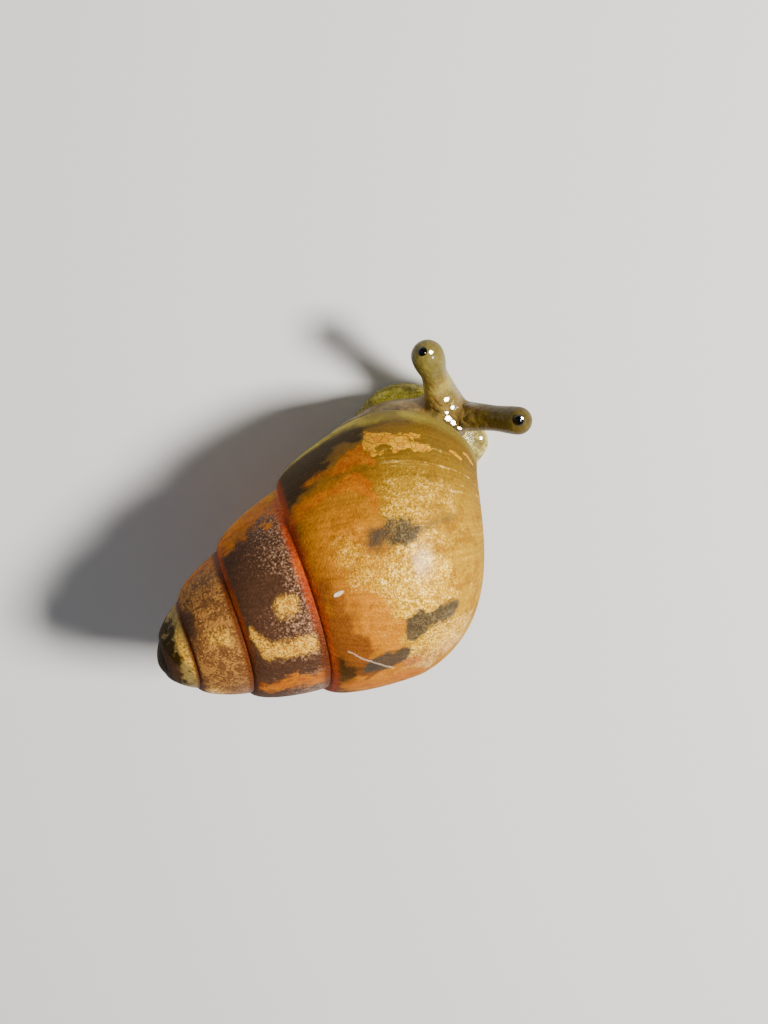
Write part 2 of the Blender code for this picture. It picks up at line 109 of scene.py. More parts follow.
# The neck and head
TRUNK_LINE = [(0.45, -0.22, 2.00), (0.44, -0.36, 1.50), (0.33, -0.66, 1.06),
              (0.14, -1.00, 0.88), (-0.01, -1.30, 0.84), (-0.04, -1.50, 0.80), (-0.05, -1.66, 0.70)]
TRUNK_RADII = [0.68, 0.74, 0.72, 0.57, 0.47, 0.39, 0.24]
TRUNK_COUNT = 18
MOUTH_PLACE = (-0.05, -1.68, 0.48)
UPPER_LIP, LOWER_LIP = (0.23, 0.175, 0.085), (0.19, 0.155, 0.075)

# How widely the soft parts run into each other
FOOT_BLEND, MANTLE_BLEND = 0.16, 0.22
LIPS_BLEND, MOUTH_BLEND, LINE_BLEND = 0.02, 0.06, 0.03
STALK_BLEND, FLOOR_BLEND = 0.12, 0.05

SKIN_LOW = (-1.26, -2.64, -0.06)
SKIN_HIGH = (1.35, 3.12, 2.46)
SKIN_STEP, SKIN_STEP_QUICK = 0.03, 0.05

# The eye stalks and eyes
STALK_ROOT_LEFT = (0.125, -1.71, 1.10)
STALK_ROOT_RIGHT = (-0.18, -1.67, 1.10)
WET_PLACE = (0.0, -1.62, 1.25)  # between the roots of the stalks
STALK_TIP_LEFT = (0.88, -2.29, 2.10)
STALK_TIP_RIGHT = (-0.84, -2.28, 1.90)
STALK_SIZES_LEFT = (0.175, 0.25, 0.300)  # radii where it is slimmest, at the tip, at the root
STALK_SIZES_RIGHT = (0.185, 0.215, 0.25)
STALK_COUNT = 15
STALK_SAG = 0.05
STALK_SPREAD_POWER = 1.8
STALK_BULB = (0.58, 0.97)  # shares of the stalk between which it swells
EYE_RADIUS = 0.09
EYE_SET_LEFT, EYE_SET_RIGHT = 0.19, 0.18
EYE_UP_LEFT = (0.54, -0.17, 0.82)
EYE_UP_RIGHT = (0.14, -0.21, 0.97)

# Small wet flats, each with its place and radius, and the one way that they all face
WET_FLATS = [(0.177, -1.842, 1.527, 0.052), (0.014, -1.778, 1.394, 0.044),
             (0.032, -1.651, 1.386, 0.036), (-0.048, -1.584, 1.343, 0.055),
             (-0.153, -1.577, 1.342, 0.048), (-0.286, -1.560, 1.328, 0.044),
             (0.898, -2.401, 2.323, 0.034), (-0.816, -1.452, 0.212, 0.036)]
EYE_FLATS = [(-0.828, -2.385, 2.132, 0.036)]
FLAT_WAY = (-0.176, -0.283, 0.943)

# The photographed view
CAMERA_AT = (5.0988, -7.6171, 37.7597)
CAMERA_RIGHT = (-0.80469, -0.59358, -0.01180)
CAMERA_UP = (0.57715, -0.77746, -0.24991)
CAMERA_BACK = (0.13917, -0.20791, 0.96820)
CAMERA_LENS = 85.0  # millimetres, as the sensor and the clip distances
CAMERA_SENSOR = 36.0
CAMERA_CLIP = (0.5, 10000.0)

# The studio: lights by the way they lie in, distance and size in millimetres, and power in watts
KEY_LIGHT = ((-0.46, -0.40, 0.79), 60.0, 13.0, 0.084, (1.0, 0.97, 0.92))
FILL_LIGHT = ((0.75, 0.25, 0.60), 80.0, 60.0, 0.004, (0.94, 0.97, 1.0))
LIGHT_TARGET = (0.0, -0.5, 1.5)
SKY_TONE, SKY_STRENGTH = (0.86, 0.91, 1.0), 0.16
FLOOR_TONE = (0.80, 0.79, 0.77)
FLOOR_HALF = 0.4  # metres


def place(points):
    return (np.asarray(points, float) + SHIFT) * MM


def smooth_step(low, high, value):
    share = np.clip((value - low) / (high - low), 0.0, 1.0)
    return share * share * (3.0 - 2.0 * share)


def length(vectors):
    return np.linalg.norm(vectors, axis=-1)


def show(name, data):
    """A new object in the scene."""
    made = bpy.data.objects.new(name, data)
    bpy.context.scene.collection.objects.link(made)
    return made


def make_mesh(name, points, faces):
    """A mesh object from points in the row frame (metres) and faces."""
    mesh = bpy.data.meshes.new(name)
    mesh.from_pydata(points.tolist(), [], [tuple(int(i) for i in face) for face in faces])
    work = bmesh.new()
    work.from_mesh(mesh)
    bmesh.ops.recalc_face_normals(work, faces=work.faces)
    work.to_mesh(mesh)
    work.free()
    mesh.shade_smooth()
    return show(name, mesh)


def points_of(piece):
    values = np.empty(len(piece.data.vertices) * 3, np.float32)
    piece.data.vertices.foreach_get("co", values)
    return values.reshape(-1, 3).astype(float) / MM - SHIFT


def paint(piece, name, values):
    layer = piece.data.attributes.new(name, "FLOAT", "POINT")
    layer.data.foreach_set("value", np.asarray(values, np.float32))


# The shell

def bezier(start, handle_a, handle_b, end, share):
    share = np.clip(share, 0.0, 1.0)[..., None]
    rest = 1.0 - share
    return (rest**3 * start + 3 * rest**2 * share * handle_a
            + 3 * rest * share**2 * handle_b + share**3 * end)


def suture(whorl):
    return np.stack([SUTURE_RADIUS * whorl**SUTURE_RADIUS_POWER,
                     SUTURE_DEPTH * whorl**SUTURE_DEPTH_POWER], -1)


def whorl_outline(whorl, share):
    """Radius and depth of a point on the shell: a Bezier arc from one suture to the next for share
    0 to SIDE_END, a second one round the base to BASE_END, and a third up the columella to 1."""
    start, end = suture(whorl), suture(whorl + 1.0)
    chord = end - start
    span = np.linalg.norm(chord, axis=-1, keepdims=True)
    along = chord / span
    outward = np.stack([along[..., 1], -along[..., 0]], -1)
    shoulder, lean = math.radians(SHOULDER_ANGLE), math.radians(FLANK_LEAN)
    leave = along * math.cos(shoulder) + outward * math.sin(shoulder)
    arrive = np.array([-math.sin(lean), math.cos(lean)])
    side = bezier(start, start + leave * span * SHOULDER_REACH,
                  end - arrive * span * FLANK_REACH, end, share / SIDE_END)
    radius, none = end[..., :1], np.zeros_like(end[..., :1])
    low = np.concatenate([radius * BASE_RADIUS, end[..., 1:] + span * BASE_DEPTH], -1)
    base = bezier(end, end + arrive * span * BASE_REACH,
                  low + np.concatenate([radius * BASE_HANDLE, none], -1), low,
                  (share - SIDE_END) / (BASE_END - SIDE_END))
    inner = np.concatenate([radius * COLUMELLA_RADIUS, end[..., 1:] + span * COLUMELLA_DEPTH], -1)
    foot = np.concatenate([radius * PILLAR_FOOT_OUT, span * PILLAR_FOOT_DOWN], -1)
    pillar = bezier(low, low - np.concatenate([radius * PILLAR_HANDLE, none], -1), inner + foot, inner,
                    (share - BASE_END) / (1.0 - BASE_END))
    pick = share[..., None]
    return np.where(pick < SIDE_END, side, np.where(pick < BASE_END, base, pillar))


def shell_axes():
    yaw, pitch = math.radians(SHELL_YAW), math.radians(SHELL_PITCH)
    axis = np.array([-math.sin(yaw) * math.cos(pitch), -math.cos(yaw) * math.cos(pitch),
                     -math.sin(pitch)])
    up = np.array([0.0, 0.0, 1.0]) - axis * axis[2]
    up /= np.linalg.norm(up)
    return np.array(SHELL_APEX), axis, up, np.cross(up, axis)


def shell_place(outline, whorl, grow=0.0):
    """Turns radius and depth to the azimuth of that stage of growth, grow millimetres outward."""
    radius, depth = outline[..., :1], outline[..., 1:]
    radius = radius + grow * np.minimum(1.0, radius / OFFSET_RADIUS)
    depth = depth + grow * np.clip((depth - OFFSET_MIDDLE) / OFFSET_SPAN, -1.0, 1.0)
    apex, axis, up, left = shell_axes()
    angle = np.radians(LIP_AZIMUTH + 360.0 * (whorl - WHORLS))[..., None]
    return apex + depth * axis + radius * (np.cos(angle) * up + np.sin(angle) * left)


def shell_surface(whorl, share, grow=0.0):
    return shell_place(whorl_outline(whorl, share), whorl, grow)


class Grid:
    """Collects points with their growth and share, and the faces between them."""

    def __init__(self):
        self.points, self.turn, self.share, self.inner, self.faces = [], [], [], [], []
        self.count = 0

    def add(self, points, turn, share, inner=0.0):
        shape = points.shape[:-1]
        number = int(np.prod(shape))
        self.points.append(points.reshape(-1, 3))
        for store, value in ((self.turn, turn), (self.share, share), (self.inner, inner)):
            store.append(np.broadcast_to(value, shape).reshape(-1))
        made = np.arange(self.count, self.count + number).reshape(shape)
        self.count += number
        return made

    def quads(self, index):
        a, b, c, d = index[:-1, :-1], index[:-1, 1:], index[1:, 1:], index[1:, :-1]
        self.faces += np.stack([a, b, c, d], -1).reshape(-1, 4).tolist()

    def strip(self, one, two):
        """Triangles between two lines of different counts."""
        i = j = 0
        while i < len(one) - 1 or j < len(two) - 1:
            first = j >= len(two) - 1
            if first or (i < len(one) - 1 and (i + 1) / (len(one) - 1) <= (j + 1) / (len(two) - 1)):
                self.faces.append((one[i], one[i + 1], two[j]))
                i += 1
            else:
                self.faces.append((one[i], two[j + 1], two[j]))
                j += 1


def build_shell():
    """The spiral surface from the nucleus to the slanting lip, the base of its last whorl, the
    rounded lip, and the hollow mouth as far as MOUTH_DEPTH back, all one closed surface."""
    grid = Grid()
    side_columns = int(round(SHELL_COLUMNS * SIDE_END))
    share = np.linspace(0.0, 1.0, SHELL_COLUMNS + 1)
    first, last = int(round(NUCLEUS * SHELL_PER_WHORL)), int(round(WHORLS * SHELL_PER_WHORL))
    turns = np.arange(first, last + 1) / SHELL_PER_WHORL
    lean = np.clip(turns - (WHORLS - 1.0), 0.0, 1.0)[:, None]
    at = turns[:, None] - LIP_SLANT / 360.0 * share[None, :] * lean
    whole = shell_surface(at, np.broadcast_to(share, at.shape))
    side = slice(0, side_columns + 1)
    index = grid.add(whole[:, side], at[:, side], share[side])
    grid.quads(index)
    base_first = last - SHELL_PER_WHORL - first
    base_part = whole[base_first:, side_columns:]
    base = grid.add(base_part, at[base_first:, side_columns:], share[side_columns:])
    grid.quads(base)
    # The apex: rings that follow the first turn of the suture
    ring_turns = turns[turns <= NUCLEUS + 1.0 + 1e-6]
    shares = np.linspace(1.0, 0.1, 14)[:, None]
    reach = (suture(ring_turns)[None, :, 0] * shares / SUTURE_RADIUS) ** (1.0 / SUTURE_RADIUS_POWER)
    ring = shell_place(suture(reach), np.broadcast_to(ring_turns, reach.shape))
    rings = grid.add(ring, NUCLEUS, 0.1)
    grid.quads(rings)
    pole = grid.add(shell_place(np.zeros((1, 2)), np.array([NUCLEUS])), NUCLEUS, 0.1)[0]
    grid.faces += [(rings[-1, i], rings[-1, i + 1], pole) for i in range(len(ring_turns) - 1)]
    start, finish = rings[:, 0].tolist(), rings[:, -1].tolist()
    grid.faces.append(tuple([pole] + start[::-1] + index[0, 1:-1].tolist() + finish))
    # The hollow at the foot of the pillar
    axis_depth = whorl_outline(np.array([WHORLS - 0.5]), np.array([1.0]))[0, 1]
    centre = grid.add(shell_place(np.array([[0.0, axis_depth]]), np.array([WHORLS])), WHORLS, 1.0)[0]
    ends = base[:, -1]
    grid.faces += [(ends[i], ends[i + 1], centre) for i in range(len(ends) - 1)]
    grid.faces.append((ends[-1], ends[0], centre))
    # The rounded lip, then the hollow of the mouth
    lip_at = at[-1]
    mouth_rows = [np.concatenate([index[-1, :], base[-1, 1:]])]
    for amount, out in zip(LIP_BACK, LIP_BULGE):
        row = shell_surface(lip_at + out, share, -LIP_THICKNESS * amount)
        mouth_rows.append(grid.add(row, lip_at, share, 1.0))
    wall_share = share[side_columns:]
    wall_rows = [base[0]]
    for step in np.linspace(0.0, MOUTH_DEPTH, MOUTH_ROWS)[1:]:
        row = shell_surface(lip_at - step, share, -LIP_THICKNESS)
        mouth_rows.append(grid.add(row, lip_at - step, share, 1.0))
        wall_turn = np.full(len(wall_share), WHORLS - 1.0 - step)
        row = shell_surface(wall_turn, wall_share, WALL_OFFSET)
        wall_rows.append(grid.add(row, wall_turn, wall_share, 1.0))
    grid.quads(np.array(mouth_rows))
    grid.quads(np.array(wall_rows))
    rows = mouth_rows[len(LIP_BACK):]
    for end in (0, -1):
        grid.quads(np.array([[r[end] for r in rows], [w[end] for w in wall_rows]]))
    grid.faces.append(tuple([base[-1, -1]] + [r[-1] for r in mouth_rows[1:4]] + [base[0, -1]]))
    grid.strip(list(rows[-1]), list(wall_rows[-1]))
    points = np.vstack(grid.points)
    turn, part = np.concatenate(grid.turn), np.concatenate(grid.share)
    inner = np.concatenate(grid.inner)
    made = make_mesh("shell_surface", place(points), grid.faces)
    paint(made, "turn", turn)
    paint(made, "part", part)
    paint(made, "inner", inner)
    return made, turn, part


# The flesh: one blended field

def blend(one, two, reach):
    """The smaller of two distances, rounded where they are within reach of each other."""
    near = np.maximum(reach - np.abs(one - two), 0.0) / reach
    return np.minimum(one, two) - near * near * reach * 0.25


def carve(one, two, reach):
    """The first shape without the second, with a rounded edge."""
    return -blend(-one, two, reach)


def smooth_line(knots, count):
    """Points read from a Catmull-Rom curve through the knots, ends included."""
    knots = np.array(knots, float)
    padded = np.vstack([2 * knots[0] - knots[1], knots, 2 * knots[-1] - knots[-2]])
    places = np.linspace(0.0, len(knots) - 1.0, count)
    first = np.minimum(places.astype(int), len(knots) - 2)
    t = (places - first)[:, None]
    a, b, c, d = (padded[first + k] for k in range(4))
    return 0.5 * (2 * b + (c - a) * t + (2 * a - 5 * b + 4 * c - d) * t**2
                  + (3 * b - a - 3 * c + d) * t**3)


def from_straight(p, a, b):
    """How far along the straight piece from a to b each point is, 0 to 1, and how far from it."""
    way = b - a
    share = np.clip(((p - a) @ way) / max(float(way @ way), 1e-12), 0.0, 1.0)
    return share, length(p - (a + share[..., None] * way))


def tube_distance(p, line, radii):
    """Distance to a chain of round cones."""
    best = np.full(p.shape[:-1], 9.0)
    for a, b, ra, rb in zip(line[:-1], line[1:], radii[:-1], radii[1:]):
        share, gap = from_straight(p, a, b)
        best = np.minimum(best, gap - (ra + share * (rb - ra)))
    return best


def egg_distance(p, centre, radii):
    scaled = (p - np.array(centre)) / np.array(radii)
    size = length(scaled)
    return size * (size - 1.0) / np.maximum(length(scaled / np.array(radii)), 1e-6)


def sole_edge(y, side):
    """Half-width of the sole at y, on the left where side is 1 and on the right where it is -1."""
    front = np.clip((SOLE_WIDEST - y) / (SOLE_WIDEST - SOLE_FRONT), 0.0, 1.0)
    rear = np.clip((y - TAIL_START) / (TAIL_TIP - TAIL_START), 0.0, 1.0)
    corner = np.where(side > 0, FRONT_CORNER_LEFT, FRONT_CORNER_RIGHT)
    spread = np.where(side > 0, 0.0, FRONT_SPREAD_RIGHT * front)
    width = (SOLE_HALF_WIDTH + spread) * (1.0 - front**corner) ** (1.0 / corner)
    return width * (1.0 - rear**TAIL_TAPER) ** TAIL_SHARPNESS


def foot_height(y):
    front = np.clip((y - SOLE_FRONT) / FOOT_RISE_LENGTH, 0.0, 1.0)
    rear = np.clip((y - FOOT_FALL_START) / (TAIL_TIP - FOOT_FALL_START), 0.0, 1.0)
    rise = FOOT_HEIGHT_FRONT + (FOOT_HEIGHT_MIDDLE - FOOT_HEIGHT_FRONT) * np.sin(front * math.pi / 2)
    return rise + (FOOT_HEIGHT_TAIL - FOOT_HEIGHT_MIDDLE) * rear


def foot_distance(p):
    """Roughly the distance to the foot: an arch over the sole whose half-width and height vary
    along it, flat below."""
    x, y, z = p[..., 0], p[..., 1], p[..., 2]
    width = np.maximum(sole_edge(y, np.sign(x)), 0.015)
    height = foot_height(y) * np.minimum(1.0, 0.45 + width)
    rise = np.maximum(z - MARGIN_HEIGHT, 0.0) / (height - MARGIN_HEIGHT)
    across = np.abs(x) / width
    size = np.sqrt(across**2 + rise**FOOT_ARCH_POWER)
    reach = np.sqrt(x**2 + np.maximum(z - MARGIN_HEIGHT, 0.0) ** 2)
    arch = (1.0 - 1.0 / np.maximum(size, 0.05)) * np.maximum(reach, 0.02)
    end = np.maximum(SOLE_FRONT - y, y - TAIL_TIP)
    arch = np.maximum(arch, end)
    return carve(arch, z, FLOOR_BLEND)


def stalk_line(root, tip):
    root, tip = np.array(root), np.array(tip)
    middle = root * 0.5 + tip * 0.5 + np.array([0.0, 0.0, -STALK_SAG])
    start = root + np.array([-0.3 * root[0], 0.10, -0.28])
    return np.vstack([start[None], smooth_line([root, middle, tip], STALK_COUNT)])


def stalk_radii(slim, bulb, spread):
    share = np.linspace(0.0, 1.0, STALK_COUNT)
    radii = slim + (spread - slim) * (1.0 - share) ** STALK_SPREAD_POWER
    radii = radii + (bulb - slim) * smooth_step(*STALK_BULB, share)
    return np.append(spread * 1.05, radii)


STALKS = [(stalk_line(STALK_ROOT_LEFT, STALK_TIP_LEFT), stalk_radii(*STALK_SIZES_LEFT)),
          (stalk_line(STALK_ROOT_RIGHT, STALK_TIP_RIGHT), stalk_radii(*STALK_SIZES_RIGHT))]


def mouth_shape():
    """The shell's mouth just inside the lip: its outline, its middle line, and the way it faces."""
    share = np.linspace(0.0, 1.0, COLLAR_COUNT)
    start = WHORLS - COLLAR_DEPTH
    lip = shell_surface(start - LIP_SLANT / 360.0 * share, share, -0.5 * LIP_THICKNESS)
    wall = shell_surface(np.full(len(share), start - 1.0), SIDE_END + share * (1.0 - SIDE_END),
                         COLLAR_WALL_OFFSET)
    rim = np.vstack([lip, wall[::-1]])
    facing = np.cross(rim, np.roll(rim, -1, axis=0)).sum(axis=0)
    facing /= np.linalg.norm(facing)
    if facing[2] > 0:
        facing = -facing
    return rim, (lip + wall) / 2, facing


MOUTH_RIM, MOUTH_LINE, MOUTH_FACING = mouth_shape()


def mantle_distance(p):
    """A thin curtain of flesh across the mouth: the outline's distance seen square to the mouth,
    joined with the height over the mouth's middle line."""
    flat = p.reshape(-1, 3)
    side = np.cross(MOUTH_FACING, (0.0, 0.0, 1.0))
    side /= np.linalg.norm(side)
    plane = np.stack([side, np.cross(MOUTH_FACING, side)], -1)
    offset = flat - MOUTH_LINE.mean(axis=0)
    near = length(offset) < COLLAR_REACH
    near &= np.abs(offset @ MOUTH_FACING) < COLLAR_HEIGHT
    result = np.full(len(flat), 1.0)
    spots = flat[near]
    q = spots @ plane
    rim = MOUTH_RIM @ plane
    best, inside = np.full(len(q), 9.0), np.zeros(len(q), bool)
    for a, b in zip(rim, np.roll(rim, -1, axis=0)):
        best = np.minimum(best, from_straight(q, a, b)[1])
        across, up = b - a
        if abs(up) > 1e-9:
            crosses = (a[1] > q[:, 1]) != (b[1] > q[:, 1])
            inside ^= crosses & (q[:, 0] < a[0] + (q[:, 1] - a[1]) * across / up)
    outline = np.where(inside, -best, best)
    line = MOUTH_LINE @ plane
    level, closest = np.zeros(len(q)), np.full(len(q), 9.0)
    for a, b, high_a, high_b in zip(line[:-1], line[1:], MOUTH_LINE[:-1] @ MOUTH_FACING,
                                    MOUTH_LINE[1:] @ MOUTH_FACING):
        share, gap = from_straight(q, a, b)
        level = np.where(gap < closest, high_a + share * (high_b - high_a), level)
        closest = np.minimum(closest, gap)
    height = np.abs(spots @ MOUTH_FACING - level) - COLLAR_HALF
    result[near] = carve(outline, -height, COLLAR_EDGE)
    return result.reshape(p.shape[:-1])


TRUNK_POINTS = smooth_line(TRUNK_LINE, TRUNK_COUNT)
TRUNK_WIDTHS = smooth_line([(r, 0.0, 0.0) for r in TRUNK_RADII], TRUNK_COUNT)[:, 0]


def flesh_distance(p):
    """The whole of the soft body as one blended field, in millimetres."""
    body = tube_distance(p, TRUNK_POINTS, TRUNK_WIDTHS)
    body = blend(body, foot_distance(p), FOOT_BLEND)
    body = blend(body, mantle_distance(p), MANTLE_BLEND)
    x, y, z = MOUTH_PLACE
    upper = egg_distance(p, (x, y, z + 0.07), UPPER_LIP)
    lower = egg_distance(p, (x, y + 0.03, z - 0.07), LOWER_LIP)
    body = blend(body, blend(upper, lower, LIPS_BLEND), MOUTH_BLEND)
    line = egg_distance(p, (x, y - 0.17, z), (0.17, 0.14, 0.018))
    body = carve(body, line, LINE_BLEND)
    for stalk, radii in STALKS:
        body = blend(body, tube_distance(p, stalk, radii), STALK_BLEND)
    return np.maximum(body, -p[..., 2])


def field_surface(distance, low, high, step):
    """The zero surface of a field. Each grid cell that it crosses gets one point, the mean of the
    crossings on its edges, and each crossed edge one quad; the points are then moved along the
    field's slope until they lie on the surface."""
    sides = [np.arange(a, b + step, step) for a, b in zip(low, high)]
    grid = np.stack(np.meshgrid(*sides, indexing="ij"), -1)
    field = np.empty(grid.shape[:-1])
    for i in range(len(grid)):
        field[i] = distance(grid[i])
    cells = tuple(n - 1 for n in field.shape)
    total, count = np.zeros(cells + (3,)), np.zeros(cells)
    for axis in range(3):
        one, two = [a for a in range(3) if a != axis]
        for shift_one in (0, 1):
            for shift_two in (0, 1):
                offset = [0, 0, 0]
                offset[one], offset[two] = shift_one, shift_two
                near = tuple(slice(o, o + n) for o, n in zip(offset, cells))
                offset[axis] = 1
                far = tuple(slice(o, o + n) for o, n in zip(offset, cells))
                a, b = field[near], field[far]
                crossed = (a < 0) != (b < 0)
                share = np.where(crossed, a / np.where(crossed, a - b, 1.0), 0.0)
                total[..., axis] += share
                total[..., one] += crossed * shift_one
                total[..., two] += crossed * shift_two
                count += crossed
    active = count > 0
    number = np.full(cells, -1)
    number[active] = np.arange(active.sum())
    points = np.array(low) + step * (np.argwhere(active) + total[active] / count[active][:, None])
    faces = []
    for axis in range(3):
        one, two = (axis + 1) % 3, (axis + 2) % 3
        near, far = [slice(1, n) for n in cells], [slice(1, n) for n in cells]
        near[axis], far[axis] = slice(0, cells[axis]), slice(1, cells[axis] + 1)
        a, b = field[tuple(near)], field[tuple(far)]
        where = np.argwhere((a < 0) != (b < 0))
        outward = (a < 0)[tuple(where.T)]
        where[:, one] += 1
        where[:, two] += 1
        ring = []
        for back_one, back_two in ((1, 1), (0, 1), (0, 0), (1, 0)):
            cell = where.copy()
            cell[:, one] -= back_one
            cell[:, two] -= back_two
            ring.append(number[tuple(cell.T)])
        quad = np.stack(ring, -1)
        quad[~outward] = quad[~outward][:, ::-1]
        faces.append(quad)
    for _ in range(3):
        value = distance(points)
        slope = np.stack([(distance(points + d) - distance(points - d)) / 0.004
                          for d in np.eye(3) * 0.002], -1)
        move = value[:, None] * slope / np.maximum((slope**2).sum(-1), 0.2)[:, None]
        points = points - np.clip(move, -step, step)
    return points, np.vstack(faces)


def build_flesh():
    """The skin: the zero surface of the blended field of trunk, foot, mantle, lips and stalks."""
    step = SKIN_STEP
    points, faces = field_surface(flesh_distance, SKIN_LOW, SKIN_HIGH, step)
    return make_mesh("flesh_skin", place(points), faces)


def ball(name, centre, radius, rings=24, segments=40):
    """A round ball from two angles."""
    down = np.linspace(0.0, math.pi, rings + 1)[1:-1]
    round_ = np.arange(segments) * 2 * math.pi / segments
    a, b = np.meshgrid(down, round_, indexing="ij")
    grid = np.stack([np.sin(a) * np.cos(b), np.sin(a) * np.sin(b), np.cos(a)], -1).reshape(-1, 3)
    points = np.vstack([grid, [[0, 0, 1.0]], [[0, 0, -1.0]]]) * radius + np.array(centre)
    index = np.arange(len(grid)).reshape(len(down), segments)
    wrap = np.hstack([index, index[:, :1]])
    faces = np.stack([wrap[:-1, :-1], wrap[:-1, 1:], wrap[1:, 1:], wrap[1:, :-1]], -1)
    faces = faces.reshape(-1, 4).tolist()
    top, bottom = len(grid), len(grid) + 1
    faces += [(wrap[0, k], wrap[0, k + 1], top) for k in range(segments)]
    faces += [(wrap[-1, k + 1], wrap[-1, k], bottom) for k in range(segments)]
    return make_mesh(name, place(points), faces)


# Materials

class Wire:
    """A socket that takes part in arithmetic; each step adds one Math node."""

    def __init__(self, tree, socket):
        self.tree, self.socket = tree, socket

    def math(self, operation, *others):
        node = self.tree.nodes.new("ShaderNodeMath")
        node.operation = operation
        for number, value in enumerate((self,) + others):
            connect(self.tree, node.inputs[number], value)
        return Wire(self.tree, node.outputs[0])

    def __add__(self, other):
        return self.math("ADD", other)

    def __sub__(self, other):
        return self.math("SUBTRACT", other)

    def __mul__(self, other):
        return self.math("MULTIPLY", other)

    def __truediv__(self, other):
        return self.math("DIVIDE", other)

    def __pow__(self, other):
        return self.math("POWER", other)

    def __neg__(self):
        return self.math("MULTIPLY", -1.0)

    def __rsub__(self, other):
        return (-self).math("ADD", other)

    def __rtruediv__(self, other):
        return (self ** -1.0) * other

    __radd__ = __add__
    __rmul__ = __mul__

    def ramp(self, low, high):
        """0 below low, 1 above high, smooth between; high may be the lower one."""
        node = self.tree.nodes.new("ShaderNodeMapRange")
        node.interpolation_type = "SMOOTHSTEP"
        flip = high < low
        ends = (high, low, 1.0, 0.0) if flip else (low, high, 0.0, 1.0)
        connect(self.tree, node.inputs[0], self)
        for number, value in enumerate(ends):
            node.inputs[number + 1].default_value = value
        return Wire(self.tree, node.outputs[0])


def connect(tree, target, value):
    if isinstance(value, Wire):
        tree.links.new(value.socket, target)
    elif target.type == "RGBA":
        target.default_value = (*value, 1.0)
    else:
        target.default_value = value


class Paint:
    """One material's tree, its Principled shader and a few ways to add nodes."""

    def __init__(self, name, **constants):
        self.material = bpy.data.materials.new(name)
        self.material.use_nodes = True
        self.tree = self.material.node_tree
        self.shader = self.tree.nodes["Principled BSDF"]
        for key, value in constants.items():
            self.shader.inputs[key.replace("_", " ")].default_value = value

    def node(self, kind, output=0, inputs=(), **settings):
        made = self.tree.nodes.new(kind)
        for key, value in settings.items():
            setattr(made, key, value)
        for key, value in dict(inputs).items():
            connect(self.tree, made.inputs[key], value)
        return Wire(self.tree, made.outputs[output])

    def attribute(self, name):
        return self.node("ShaderNodeAttribute", "Fac", attribute_name=name)

    def millimetres(self):
        """Object coordinates in millimetres."""
        here = self.node("ShaderNodeTexCoord", "Object")
        return self.node("ShaderNodeVectorMath", 0, {0: here, 1: (1 / MM,) * 3}, operation="MULTIPLY")

    def noise(self, vector, scale, detail=3.0, rough=0.5, warp=0.0):
        return self.node("ShaderNodeTexNoise", 0, {"Vector": vector, "Scale": scale, "Detail": detail,
                                                   "Roughness": rough, "Distortion": warp})

    def cells(self, vector, scale, feature="F1", output="Distance"):
        inputs = {"Vector": vector, "Scale": scale}
        return self.node("ShaderNodeTexVoronoi", output, inputs, feature=feature)

    def mix(self, share, one, two):
        made = self.tree.nodes.new("ShaderNodeMix")
        made.data_type = "RGBA"
        connect(self.tree, made.inputs[0], share)
        connect(self.tree, made.inputs[6], one)
        connect(self.tree, made.inputs[7], two)
        return Wire(self.tree, made.outputs[2])

    def scale(self, colour, share):
        """A colour made lighter or darker by a share."""
        return self.node("ShaderNodeVectorMath", 0, {0: colour, 3: share}, operation="SCALE")

    def bump(self, height, strength, distance):
        return self.node("ShaderNodeBump", 0, {"Height": height, "Strength": strength,
                                               "Distance": distance * MM})

    def feed(self, name, value):
        connect(self.tree, self.shader.inputs[name], value)


def wet_flats(p, here, table, ragged):
    """1 on small round flats, each with its place and radius, 0 elsewhere; the edge wavers."""
    flats = []
    for x, y, z, radius in table:
        spot = tuple(float(v) for v in np.array((x, y, z)) + SHIFT)
        gap = p.node("ShaderNodeVectorMath", "Value", {0: here, 1: spot}, operation="DISTANCE")
        flats.append((gap + (ragged - 0.5) * 1.4 * radius).ramp(radius, radius * 0.75))
    return sum(flats)


def level_flats(p, flats, normal):
    """The normal, turned on the flats to the one way that they all face."""
    parts = {0: p.scale(normal, 1.0 - flats), 1: p.scale(FLAT_WAY, flats)}
    mixed = p.node("ShaderNodeVectorMath", 0, parts, operation="ADD")
    return p.node("ShaderNodeVectorMath", 0, {0: mixed}, operation="NORMALIZE")


def ripple(points, size, seed):
    """Smooth irregular values of about -1 to 1: a sum of sine waves in many directions, each about
    size millimetres long."""
    dice = np.random.default_rng(seed)
    ways = dice.normal(size=(14, 3))
    ways *= (2 * math.pi / size * dice.uniform(0.6, 1.6, 14) / np.linalg.norm(ways, axis=1))[:, None]
    return np.sin(points @ ways.T + dice.uniform(0, 2 * math.pi, 14)).sum(axis=1) / 3.7


def blotches(turn, part, at, table, ragged):
    """Sum of soft streaks on the shell: each runs between two (turn, part) places, as wide in turn
    and part as it says, and its edge wavers."""
    total = np.zeros(len(turn))
    shift = np.stack([ripple(at, 0.42, 1), ripple(at, 0.42, 2)], -1) * ragged
    shift += np.stack([ripple(at, 0.16, 3), ripple(at, 0.16, 4)], -1) * ragged * 0.6
    for turn_a, part_a, turn_b, part_b, wide_turn, wide_part, weight in table:
        a = np.array([turn_a / wide_turn, part_a / wide_part])
        b = np.array([turn_b / wide_turn, part_b / wide_part])
        p = np.stack([turn / wide_turn, part / wide_part], -1) + shift
        total += weight * np.exp(-from_straight(p, a, b)[1] ** 2 * 1.1)
    return total


